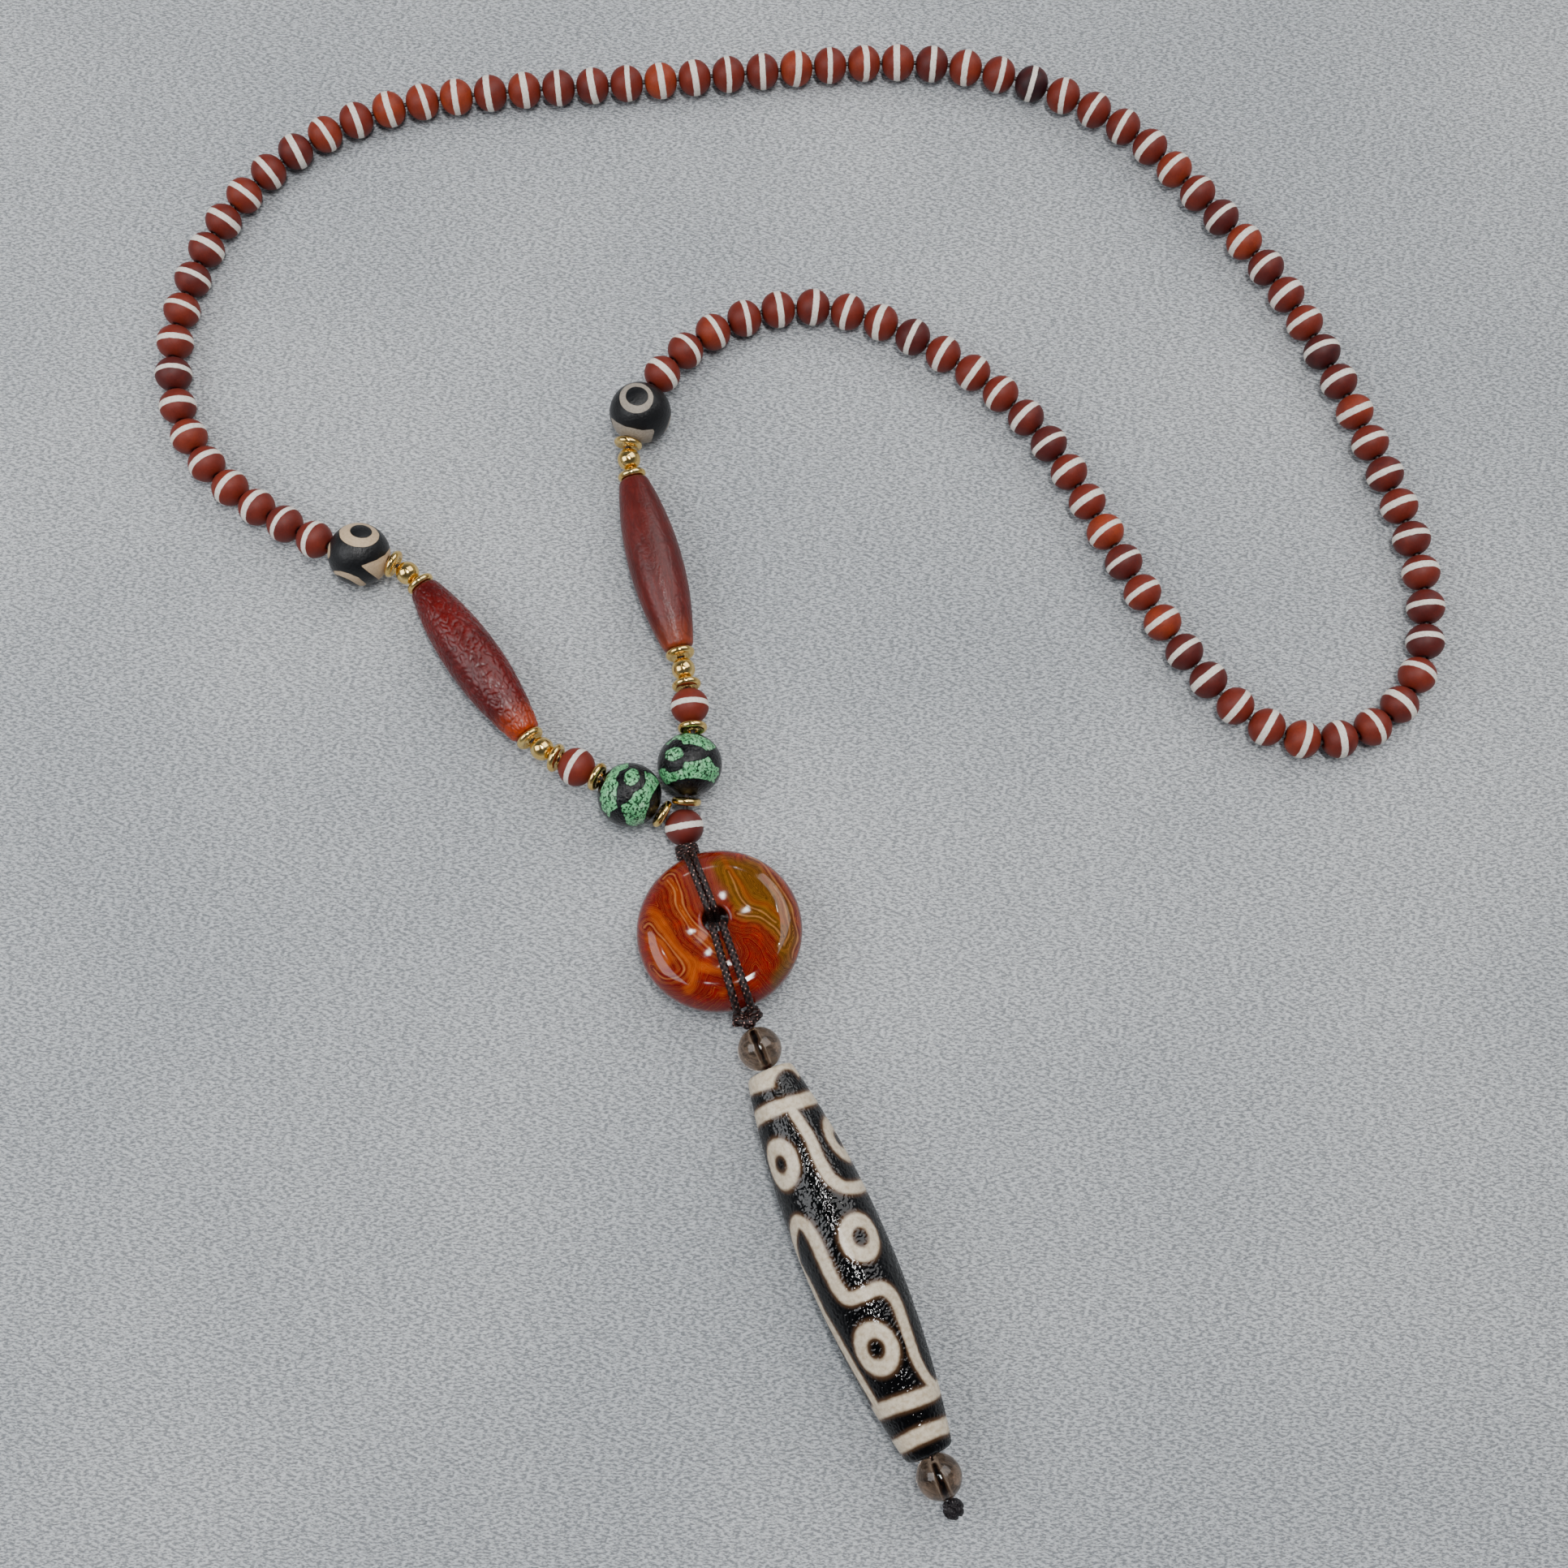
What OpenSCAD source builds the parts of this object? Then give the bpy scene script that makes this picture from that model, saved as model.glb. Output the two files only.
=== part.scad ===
// A long bead necklace laid out flat on a table. Two short strands of large beads and gold
// spacers rise from one small guru bead, and a string of striped beads closes the loop round the
// neck. Below the guru bead hang an agate donut, a long eyed bead between two glass beads, and
// an end knot. Everything is built round the guru bead's centre, then moved so that the origin
// is the middle of the underside.

/* [Striped beads] */
// Diameter of a striped bead
bead_d = 6; // [5:0.1:7]
// Length of a striped bead along its hole
bead_len = 5.55; // [4.8:0.05:6.4]
// Hole through a striped bead
bead_bore = 1.3; // [1.1:0.1:2]
// Number of beads in the string round the neck
bead_count = 88; // [80:1:96]
// Gap between two beads of the string, where its thread bends
string_gap = 0.3; // [0.26:0.01:0.5]
// Beads that slope down from a large eye bead to the table
sloping_beads = 3; // [2:1:6]

/* [Gold spacers] */
// Diameter of a spacer disc
disc_d = 4.6; // [4:0.1:5]
// Length of a spacer disc over its two hubs
disc_len = 1.3; // [1.2:0.1:2]
// Thickness of a disc's rounded rim
disc_rim = 1.2; // [0.8:0.1:1.2]
// Thickness of a disc between its hub and its rim
disc_web = 0.7; // [0.4:0.1:0.7]
// Diameter of a disc's hub
disc_hub_d = 1.7; // [1.6:0.1:2.2]
// Diameter of a round gold spacer
ball_d = 3.7; // [3.2:0.1:4.4]
// Hole through the gold spacers
spacer_bore = 1.3; // [1.1:0.1:1.5]
// Gap between neighbours on the two strands
spacer_gap = 0.2; // [0.15:0.01:0.35]

/* [Large beads] */
// Diameter of a round bead with black and white eyes
eye_d = 10; // [9:0.1:12]
// Length of a round eyed bead along its hole
eye_len = 9.7; // [8.6:0.1:11.6]
// Diameter of a green and black bead
green_d = 10; // [9:0.1:11]
// Length of a green and black bead along its hole
green_len = 9.7; // [8.6:0.1:10.6]
// Rise of a green bead's upper end over its middle, as it leans on the fork
green_rise = 0.7; // [0.5:0.1:1]
// Clear space between the two green beads
green_clear = 0.4; // [0.3:0.05:1]
// Largest diameter of a long barrel bead
barrel_d = 8.7; // [7.6:0.1:10]
// Diameter of a barrel bead's ends
barrel_end_d = 4.6; // [4:0.1:5.4]
// Length of a barrel bead
barrel_len = 29.6; // [26:0.1:34]
// Rounding of a barrel bead's end edges
barrel_edge = 0.7; // [0.3:0.1:1]
// Hole through the large beads
large_bore = 1.6; // [1.1:0.1:2.2]

/* [Guru bead] */
// Diameter of the guru bead, where the two strands join
guru_d = 6; // [5.6:0.1:7]
// Length of the guru bead along its lower hole
guru_len = 5.6; // [5.2:0.1:6.4]
// Lower hole of the guru bead, which takes both ends of the thread
guru_bore = 1.9; // [1.8:0.1:2.4]
// Lean of the guru bead to the left of the straight up direction, in degrees
guru_lean = 8; // [5:1:20]
// Lean of the middle of the fork between the two strands, in degrees
fork_lean = 28; // [24:1:32]

/* [Donut] */
// Diameter of the agate donut
donut_d = 25; // [22:0.5:30]
// Thickness of the donut at its round rim
donut_t = 7.4; // [6.4:0.1:8.4]
// How much thinner each face is at the middle than at the rim
donut_dish = 0.9; // [0.4:0.1:1.4]
// Hole through the donut
donut_hole_d = 4; // [3.8:0.1:5]
// How far the hole lies from the middle, towards the neck
donut_hole_shift = 1.2; // [0:0.1:2]
// Tilt of the donut, with its lower side raised by the pendant's cords, in degrees
donut_tilt = 6; // [3:0.5:9]
// Lean of the donut's row to the left of the straight up direction, in degrees
donut_lean = 22; // [15:1:28]

/* [Pendant bead] */
// Largest diameter of the long eyed pendant bead
dzi_d = 13.1; // [11:0.1:15]
// Diameter of its two flat ends
dzi_end_d = 6.9; // [6:0.1:8]
// Length of the long eyed pendant bead
dzi_len = 58; // [50:1:66]
// Rounding of its end edges
dzi_edge = 1; // [0.4:0.1:1.4]
// Hole through the long bead
dzi_bore = 2; // [1.2:0.1:3]
// Lean of the long bead to the left of the straight up direction, in degrees
dzi_lean = 23; // [18:1:28]
// Diameter of each round glass bead at its two ends
glass_d = 6.5; // [5.6:0.1:8]
// Hole through a glass bead
glass_bore = 1.3; // [1.1:0.1:1.8]

/* [Cords and knots] */
// Diameter of the thread that strings the necklace
thread_d = 0.7; // [0.5:0.05:0.8]
// Diameter of the upper sling's cord, which ties the donut to the guru bead
upper_cord_d = 1; // [0.8:0.05:1.1]
// Diameter of the lower sling's cord, which carries the pendant
lower_cord_d = 1.25; // [1:0.05:1.3]
// Diameter of the cord through the pendant's beads
pendant_cord_d = 0.8; // [0.6:0.05:0.9]
// Space kept between a cord and what it passes
cord_clear = 0.1; // [0.05:0.01:0.15]
// Turn of the lower sling off the donut's row, in degrees
lower_turn = 4; // [0:1:9]
// Diameter of the wrapped knot under the guru bead
upper_knot_d = 3.4; // [3:0.1:4.2]
// Length of the wrapped knot under the guru bead
upper_knot_len = 1.8; // [1.6:0.1:3]
// Diameter of each small knot below the donut
side_knot_d = 2; // [1.8:0.1:2.4]
// Distance from the two small knots to the knot where they join
join_drop = 0.8; // [0.6:0.1:1.2]
// Diameter of the knot where the two small knots join
join_knot_d = 2; // [1.8:0.1:2.4]
// Diameter of the knot that ends the pendant
end_knot_d = 3.2; // [2.6:0.1:4]

/* [Hidden] */
$fn = 48;
tube_sides = 8;
spline_parts = 16;

// One strand's pieces in order, from the guru bead up to the string
STRAND = ["disc", "green", "disc", "stripe", "disc", "ball", "disc", "barrel",
          "disc", "ball", "disc", "eye"];
SIDES = ["left", "right"];
DISCS = count_in(STRAND, "disc");
BALLS = count_in(STRAND, "ball");

// The route of the string as it lies, in plan and measured from the guru bead. The left foot ends
// where the left barrel bead begins, the loop runs from that bead's upper end round the neck to
// the right barrel bead's upper end, and the right foot leads back down to the guru bead
LEFT_FOOT = [[-17.5, 9.5], [-21.8, 11.6], [-24.5, 14.5]];
LOOP = [
    [-41.7, 38.6], [-43.2, 40.3], [-46.4, 42.2], [-47.8, 42.8], [-52.7, 43.8], [-57.4, 45.3],
    [-62, 48], [-70, 53], [-78, 60], [-83.4, 70], [-84.8, 82], [-82.5, 94], [-78, 105],
    [-70.8, 114.2], [-61.5, 121.2], [-50, 126], [-33, 128.7], [-10, 130.5], [14, 133],
    [31.5, 134.5], [43.5, 134], [54.5, 131.5], [65.2, 127], [75, 120.5], [86, 108], [96.5, 94],
    [104.5, 78.3], [111, 62], [116, 46], [117, 35], [115, 24.5], [109.8, 17.6], [103.8, 14.2],
    [97.6, 13.4], [91.6, 15], [86.2, 18.8], [81, 24.5], [74.5, 34], [66.7, 48.5], [58.8, 63],
    [50.3, 73], [37.8, 82], [29.5, 86.2], [20.5, 88.3], [11, 87], [2.5, 82.8], [-4, 76], [-8, 69],
    [-9.6, 63.5], [-9.9, 61], [-9.2, 58], [-8.9, 56.9]
];
RIGHT_FOOT = [[-1.1, 28.3], [0.2, 22]];

function sum(v) = [for (i = 0, s = 0; i <= len(v); s = s + (i < len(v) ? v[i] : 0), i = i + 1) s];
function total(v) = sum(v)[len(v)];
function count_in(list, what) = len([for (x = list) if (x == what) 1]);
function reversed(v) = [for (i = [len(v) - 1:-1:0]) v[i]];
function unit(v) = v / norm(v);
function plan_dir(lean) = [-sin(lean), cos(lean)];
function place_of(kind, n) = [for (i = [0:len(STRAND) - 1]) if (STRAND[i] == kind) i][n - 1];

// Every piece between the thread's two ends, with the length that it takes and the gap after it
ROW = concat(STRAND, [for (i = [1:bead_count]) "bead"], reversed(STRAND));
row_end = len(ROW);
function length_of(kind) =
    kind == "disc" ? disc_len :
    kind == "ball" ? ball_d :
    kind == "green" ? green_len :
    kind == "barrel" ? barrel_len :
    kind == "eye" ? eye_len : bead_len;
function gap_before(i) =
    (i == 0 || i == row_end) ? spacer_gap :
    (ROW[i - 1] == "bead" || ROW[i] == "bead") ? string_gap : spacer_gap;
steps = [for (i = [0:row_end - 1]) length_of(ROW[i]) + (gap_before(i) + gap_before(i + 1)) / 2];

// The fork: both strands leave the guru bead so far apart that the green beads clear each other
row_start = guru_d / 2 + spacer_gap / 2;
green_out = row_start + disc_len + green_len / 2 + 1.5 * spacer_gap;
fork_half = asin((green_d + green_clear) / 2 / green_out);
left_dir = plan_dir(fork_lean + fork_half);
right_dir = plan_dir(fork_lean - fork_half);
green_end = green_out + green_len / 2 + spacer_gap / 2;

// A smooth curve through points, whose speed follows the square root of their spacing
function knot_speed(a, b) = sqrt(norm(b - a));
function bend_point(a, b, c, d, t) =
    let (ab = knot_speed(a, b), bc = knot_speed(b, c), cd = knot_speed(c, d))
    let (m1 = bc * ((b - a) / ab - (c - a) / (ab + bc) + (c - b) / bc))
    let (m2 = bc * ((c - b) / bc - (d - b) / (bc + cd) + (d - c) / cd))
    (2 * t * t * t - 3 * t * t + 1) * b + (t * t * t - 2 * t * t + t) * m1
    + (3 * t * t - 2 * t * t * t) * c + (t * t * t - t * t) * m2;
function spline(p) =
    let (n = len(p), q = concat([2 * p[0] - p[1]], p, [2 * p[n - 1] - p[n - 2]]))
    [for (i = [1:n - 1]) for (k = [0:spline_parts - 1])
        bend_point(q[i - 1], q[i], q[i + 1], q[i + 2], k / spline_parts), if (true) p[n - 1]];

// Each barrel bead's own length sets how far its two ends lie apart, and pushes the loop out
left_top = LEFT_FOOT[len(LEFT_FOOT) - 1];
right_top = RIGHT_FOOT[0];
loop_end = len(LOOP) - 1;
function push(from, to) = unit(to - from) * (barrel_len + spacer_gap - norm(to - from));
left_push = push(left_top, LOOP[0]);
right_push = push(right_top, LOOP[loop_end]);
loop = [for (i = [0:loop_end])
    let (t = i / loop_end) LOOP[i] + (1 - t) * left_push + t * right_push];
curve = spline(concat(
    [left_dir * row_start, left_dir * green_end / 2, left_dir * green_end],
    LEFT_FOOT, [(left_top + loop[0]) / 2], loop, [(loop[loop_end] + right_top) / 2], RIGHT_FOOT,
    [right_dir * green_end, right_dir * green_end / 2, right_dir * row_start]
));
curve_at = sum([for (i = [1:len(curve) - 1]) norm(curve[i] - curve[i - 1])]);
curve_len = curve_at[len(curve) - 1];
curve_x = [for (i = [0:len(curve) - 1]) [curve_at[i] / curve_len, curve[i].x]];
curve_y = [for (i = [0:len(curve) - 1]) [curve_at[i] / curve_len, curve[i].y]];
function on_curve(share) = [lookup(share, curve_x), lookup(share, curve_y)];

// Where each piece begins, as a share of the route: first by length along the curve, then
// again with each step lengthened by what its straight chord cuts off
function shares(v) = sum(v) / total(v);
function chords(at) = [for (i = [1:len(at) - 1]) norm(on_curve(at[i]) - on_curve(at[i - 1]))];
first_chords = chords(shares(steps));
row_at = shares([for (i = [0:row_end - 1]) steps[i] * steps[i] / first_chords[i]]);

// The whole route is drawn larger or smaller, so that the pieces with their gaps just fill it
route_scale = total(steps) / total(chords(row_at));

// Heights: the large beads and the string rest on the table, and what lies between is carried
guru_z = guru_d / 2;
green_i = place_of("green", 1);
barrel_i = place_of("barrel", 1);
eye_i = place_of("eye", 1);
half_heights = [
    [-row_start / curve_len, guru_z],
    [row_at[green_i], green_d / 2 - green_rise],
    [row_at[green_i + 1], green_d / 2 + green_rise],
    [row_at[barrel_i], barrel_d / 2],
    [row_at[barrel_i + 1], barrel_d / 2],
    [row_at[eye_i], eye_d / 2],
    [row_at[eye_i + 1], eye_d / 2],
    [row_at[eye_i + 1 + sloping_beads], bead_d / 2]
];
heights = concat(half_heights, [for (h = reversed(half_heights)) [1 - h[0], h[1]]]);
function row_point(i) =
    let (p = on_curve(row_at[i]) * route_scale) [p.x, p.y, lookup(row_at[i], heights)];
row = [for (i = [0:row_end]) row_point(i)];

// The pendant's row below the guru bead, piece by piece
guru_mid = [0, 0, guru_z];
rim_r = donut_t / 2;
rim_at = donut_d / 2 - rim_r;
sling_under = rim_r + cord_clear + upper_cord_d;
donut_z = rim_at * sin(donut_tilt) + sling_under;
rim_low_z = donut_z - rim_at * sin(donut_tilt);
rim_high_z = donut_z + rim_at * sin(donut_tilt);
upper_knot_out = guru_d / 2 + cord_clear + upper_knot_len / 2;
upper_knot_xy = -plan_dir(guru_lean) * upper_knot_out;
upper_knot_mid = [upper_knot_xy.x, upper_knot_xy.y, guru_z + (rim_low_z - guru_z) / 3];
donut_out = upper_knot_len / 2 + 2 * cord_clear + donut_d / 2;
donut_xy = upper_knot_xy - plan_dir(donut_lean) * donut_out;
donut_mid = [donut_xy.x, donut_xy.y, donut_z];
sling_lean = donut_lean - lower_turn;
side_knots_out = donut_d / 2 + cord_clear + side_knot_d / 2;
side_knots_mid = down_row(donut_mid, sling_lean, side_knots_out, rim_high_z);
side_knot_off = side_knot_d / 2 + cord_clear;
dzi_z = dzi_d / 2;
join_mid = down_row(side_knots_mid, sling_lean, join_drop, (rim_high_z + dzi_z) / 2);
end_droop = 0.28 * glass_d;
end_lean = dzi_lean + 5;
glass_step = glass_d + spacer_gap;
function down_row(from, lean, dist, z) =
    let (p = [from.x, from.y] - plan_dir(lean) * dist) [p.x, p.y, z];
pendant_0 = down_row(join_mid, (sling_lean + dzi_lean) / 2, join_knot_d / 2 + spacer_gap / 2, dzi_z);
pendant_1 = down_row(pendant_0, dzi_lean, glass_step, dzi_z);
pendant_2 = down_row(pendant_1, dzi_lean, dzi_len + spacer_gap, dzi_z);
pendant_3 = down_row(pendant_2, dzi_lean, sqrt(pow(glass_step, 2) - pow(end_droop, 2)),
                     dzi_z - end_droop);
end_knot_mid = down_row(pendant_3, end_lean, end_knot_d / 2, pendant_3.z - end_droop / 3);

// The box round everything, to put the origin under its middle
string_x = [for (i = [len(STRAND):row_end - len(STRAND)]) row[i].x];
string_y = [for (i = [len(STRAND):row_end - len(STRAND)]) row[i].y];
middle_x = (min(string_x) + max(string_x)) / 2;
top_y = max(string_y) + bead_d / 2;
low_y = end_knot_mid.y - end_knot_d / 2;
middle = [middle_x, (top_y + low_y) / 2, 0];

// Moves what is built round the guru bead to the part's own frame
module placed() {
    translate(-middle) children();
}

// Stands a piece that is built along +Z at a point, pointing along a direction
module aimed(at, along) {
    translate(at)
        rotate([0, acos(along.z / norm(along)), atan2(along.y, along.x)])
            children();
}

// The same for a piece that fills the line from one point to another
module between(a, b) {
    aimed((a + b) / 2, b - a) children();
}

// A cord swept through points, with rings square to the path; side_of points across it
function path_dir(p, i) = unit(p[min(i + 1, len(p) - 1)] - p[max(i - 1, 0)]);
function tube_ring(at, along, side_of, d) =
    let (u = unit(cross(side_of, along)), v = cross(along, u))
    [for (k = [0:tube_sides - 1]) let (a = 360 * k / tube_sides) at + d / 2 * (cos(a) * u + sin(a) * v)];
module tube(p, d, side_of = [0, 0, 1]) {
    n = len(p);
    points = [for (i = [0:n - 1]) for (q = tube_ring(p[i], path_dir(p, i), side_of, d)) q];
    walls = [for (i = [0:n - 2]) for (k = [0:tube_sides - 1])
        let (a = i * tube_sides + k, b = i * tube_sides + (k + 1) % tube_sides)
        for (f = [[a, a + tube_sides, b], [b, a + tube_sides, b + tube_sides]]) f];
    near_end = [for (k = [0:tube_sides - 1]) k];
    far_end = [for (k = [tube_sides - 1:-1:0]) (n - 1) * tube_sides + k];
    polyhedron(points, concat(walls, [near_end, far_end]), convexity = 10);
}

// A round bead, slightly flattened at the ends of its hole
module round_bead(d, length, bore) {
    rotate_extrude()
        intersection() {
            translate([(d - length) / 2, 0]) circle(d = length);
            translate([bore / 2, -length]) square([d, 2 * length]);
        }
}

// A long bead whose sides are one arc, with flat ends and rounded end edges
module arc_bead(d, end_d, length, edge, bore) {
    half = length / 2;
    swell = (d - end_d) / 2;
    arc_r = (half * half + swell * swell) / (2 * swell);
    arc_x = d / 2 - arc_r;
    edge_y = half - edge;
    edge_x = arc_x + sqrt(pow(arc_r - edge, 2) - edge_y * edge_y);
    meet_y = edge_y * arc_r / (arc_r - edge);
    rotate_extrude()
        intersection() {
            translate([bore / 2, -length]) square([d, 2 * length]);
            union() {
                intersection() {
                    translate([arc_x, 0]) circle(r = arc_r, $fn = 720);
                    translate([0, -meet_y]) square([d, 2 * meet_y]);
                }
                for (end = [-1, 1]) translate([edge_x, end * edge_y]) circle(r = edge);
                translate([0, -half]) square([edge_x, length]);
            }
        }
}

// A gold disc: a thick round rim, a thinner web inside it and a short hub
module spacer_disc() {
    rim_x = (disc_d - disc_rim) / 2;
    rotate_extrude()
        difference() {
            union() {
                translate([rim_x, 0]) circle(d = disc_rim);
                translate([0, -disc_len / 2]) square([disc_hub_d / 2, disc_len]);
                translate([0, -disc_web / 2]) square([rim_x, disc_web]);
            }
            translate([-spacer_bore / 2, -disc_len]) square([spacer_bore, 2 * disc_len]);
            translate([-disc_d, -disc_len]) square([disc_d, 2 * disc_len]);
        }
}

// A knot of round turns of cord about the row's axis, thick enough to cover the cord's ends
module wrapped_knot(d, length, turns) {
    turn_d = length / turns;
    rotate_extrude()
        union() {
            translate([0, -length / 2]) square([(d - turn_d) / 2, length]);
            for (i = [0:turns - 1])
                translate([(d - turn_d) / 2, (i + 0.5) * turn_d - length / 2]) circle(d = turn_d);
        }
}

module bead_string() {
    color("firebrick") placed()
        for (i = [len(STRAND):row_end - len(STRAND) - 1])
            between(row[i], row[i + 1]) round_bead(bead_d, bead_len, bead_bore);
}

// The thread's two ends lie side by side in the guru bead's lower hole
module thread() {
    end_gap = thread_d / 2 + cord_clear / 2;
    across = unit([plan_dir(guru_lean).y, -plan_dir(guru_lean).x]);
    down = -plan_dir(guru_lean);
    lower = guru_len / 2 + cord_clear / 2;
    function end_point(side, out) = guru_mid + [(across * side * end_gap + down * out).x,
                                               (across * side * end_gap + down * out).y, 0];
    left_end = [end_point(-1, lower), end_point(-1, end_gap)];
    right_end = [end_point(1, end_gap), end_point(1, lower)];
    color("black") placed() tube(concat(left_end, row, right_end), thread_d);
}

// A hole down the guru bead's own axis meets one for each strand at the bead's middle. The
// strands' holes widen towards it, so that each end of the thread turns into the lower hole
module guru_bead() {
    down = -plan_dir(guru_lean);
    color("firebrick") placed()
        difference() {
            aimed(guru_mid, [down.x, down.y, 0]) round_bead(guru_d, guru_len, 0);
            aimed(guru_mid, [down.x, down.y, 0]) cylinder(d = guru_bore, h = guru_d);
            for (p = [row[0], row[row_end]]) aimed(guru_mid, p - guru_mid) {
                cylinder(d = bead_bore, h = guru_d);
                cylinder(d1 = guru_bore, d2 = bead_bore, h = guru_d / 2);
            }
        }
}

module upper_knot() {
    down = -plan_dir((guru_lean + donut_lean) / 2);
    color("sienna") placed()
        aimed(upper_knot_mid, [down.x, down.y, 0])
            wrapped_knot(upper_knot_d, upper_knot_len, 2);
}

// The donut's own frame: +Y towards the neck, the tilt lowering that side
module in_donut() {
    translate(donut_mid) rotate([0, 0, donut_lean]) rotate([-donut_tilt, 0, 0]) children();
}

module donut() {
    face_mid = donut_t / 2 - donut_dish;
    color("orangered") placed() in_donut()
        difference() {
            rotate_extrude()
                intersection() {
                    union() {
                        translate([rim_at, 0]) circle(r = rim_r);
                        polygon([[0, -face_mid], [rim_at, -rim_r], [rim_at, rim_r], [0, face_mid]]);
                    }
                    translate([0, -donut_t]) square([donut_d, 2 * donut_t]);
                }
            translate([0, donut_hole_shift, 0])
                cylinder(d = donut_hole_d, h = 2 * donut_t, center = true);
        }
}

// One loop of a sling: from outside the rim over the face, down the hole and back underneath.
// side is the cord's distance from the sling's middle line in the hole, ahead its direction in
// the donut's frame, and reach the angle on the rim's circle where it starts
function meet_circle(p, ahead, r) =
    let (along = p * ahead) p + ahead * (sqrt(along * along - p * p + r * r) - along);
function face_z(r) = donut_t / 2 - donut_dish * (rim_at - r) / rim_at;
function over_rim(p, ahead, d, reach) =
    let (lift = rim_r + cord_clear + d / 2)
    [for (k = [0:5])
        let (a = reach + (90 - reach) * k / 5, q = meet_circle(p, ahead, rim_at + lift * cos(a)))
        [q.x, q.y, lift * sin(a)]];
function into_hole(p, ahead, side, d) =
    let (lift = cord_clear + d / 2, edge = sqrt(pow(donut_hole_d / 2, 2) - side * side))
    [for (a = [90:30:180])
        let (q = p + ahead * (edge + lift * cos(a)))
        [q.x, q.y, face_z(norm(p + ahead * edge)) + lift * sin(a)]];
function loop_path(ahead, side, d, reach) =
    let (p = [0, donut_hole_shift] + side * [ahead.y, -ahead.x])
    let (top = concat(over_rim(p, ahead, d, reach), into_hole(p, ahead, side, d)))
    concat(top, [for (q = reversed(top)) [q.x, q.y, -q.z]]);
module sling(turn, spacing, spread, d, reach) {
    for (side = [-1, 1]) {
        a = turn + side * spread;
        ahead = [sin(a), cos(a)];
        tube(loop_path(ahead, side * spacing / 2, d, reach), d, [ahead.y, -ahead.x, 0]);
    }
}

module upper_sling() {
    reach = acos(rim_r / (rim_r + cord_clear + upper_cord_d));
    color("sienna") placed() in_donut()
        sling(0, upper_cord_d + cord_clear, 0, upper_cord_d, reach);
}

// The lower sling's cords spread from the hole to the two small knots
module lower_sling() {
    spacing = lower_cord_d + 2 * cord_clear;
    spread = atan((side_knot_off - spacing / 2) / (side_knots_out + donut_hole_shift));
    chord = (side_knot_d + lower_cord_d) / 2 + cord_clear;
    reach = 2 * asin(chord / 2 / (rim_r + cord_clear + lower_cord_d / 2));
    color("sienna") placed() in_donut()
        sling(180 + lower_turn, spacing, spread, lower_cord_d, reach);
}

// Two small knots side by side, joined in a third. Each ball's own seam is turned to the side
// that touches no other ball
module lower_knot() {
    across = [plan_dir(sling_lean).y, -plan_dir(sling_lean).x, 0];
    color("sienna") placed()
        union() {
            translate(join_mid) rotate([0, 0, sling_lean - 90]) sphere(d = join_knot_d);
            for (side = [-1, 1])
                translate(side_knots_mid + side * across * side_knot_off)
                    rotate([0, 0, sling_lean + 90]) sphere(d = side_knot_d);
        }
}

module glass_bead(a, b) {
    color("dimgray") placed() between(a, b) round_bead(glass_d, glass_d, glass_bore);
}

module upper_glass_bead() {
    glass_bead(pendant_0, pendant_1);
}

module dzi_bead() {
    color("black") placed()
        between(pendant_1, pendant_2) arc_bead(dzi_d, dzi_end_d, dzi_len, dzi_edge, dzi_bore);
}

module lower_glass_bead() {
    glass_bead(pendant_2, pendant_3);
}

module pendant_cord() {
    first = join_mid + unit(pendant_0 - join_mid) * (join_knot_d / 2 + cord_clear / 2);
    last = end_knot_mid + unit(pendant_3 - end_knot_mid) * (end_knot_d / 2 + cord_clear / 2);
    color("black") placed()
        tube([first, pendant_1, pendant_2, last], pendant_cord_d);
}

module end_knot() {
    color("black") placed() translate(end_knot_mid) sphere(d = end_knot_d);
}

// A piece of one strand, by its side, its kind and its number from the guru bead up
module strand_piece(side, kind, n) {
    i = side == "left" ? place_of(kind, n) : row_end - 1 - place_of(kind, n);
    placed() between(row[i], row[i + 1]) children();
}

module green_bead(side) {
    color("mediumseagreen") strand_piece(side, "green", 1) round_bead(green_d, green_len, large_bore);
}

module stripe_bead(side) {
    color("firebrick") strand_piece(side, "stripe", 1) round_bead(bead_d, bead_len, bead_bore);
}

module barrel_bead(side) {
    color("brown") strand_piece(side, "barrel", 1)
        arc_bead(barrel_d, barrel_end_d, barrel_len, barrel_edge, large_bore);
}

module eye_bead(side) {
    color("black") strand_piece(side, "eye", 1) round_bead(eye_d, eye_len, large_bore);
}

module gold_disc(side, n) {
    color("gold") strand_piece(side, "disc", n) spacer_disc();
}

module gold_ball(side, n) {
    color("gold") strand_piece(side, "ball", n) round_bead(ball_d, ball_d, spacer_bore);
}

bead_string();
thread();
guru_bead();
upper_knot();
upper_sling();
donut();
lower_sling();
lower_knot();
upper_glass_bead();
dzi_bead();
lower_glass_bead();
pendant_cord();
end_knot();
for (s = SIDES) {
    green_bead(s);
    stripe_bead(s);
    barrel_bead(s);
    eye_bead(s);
    for (i = [1:DISCS]) gold_disc(s, i);
    for (i = [1:BALLS]) gold_ball(s, i);
}
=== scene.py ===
import math

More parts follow.
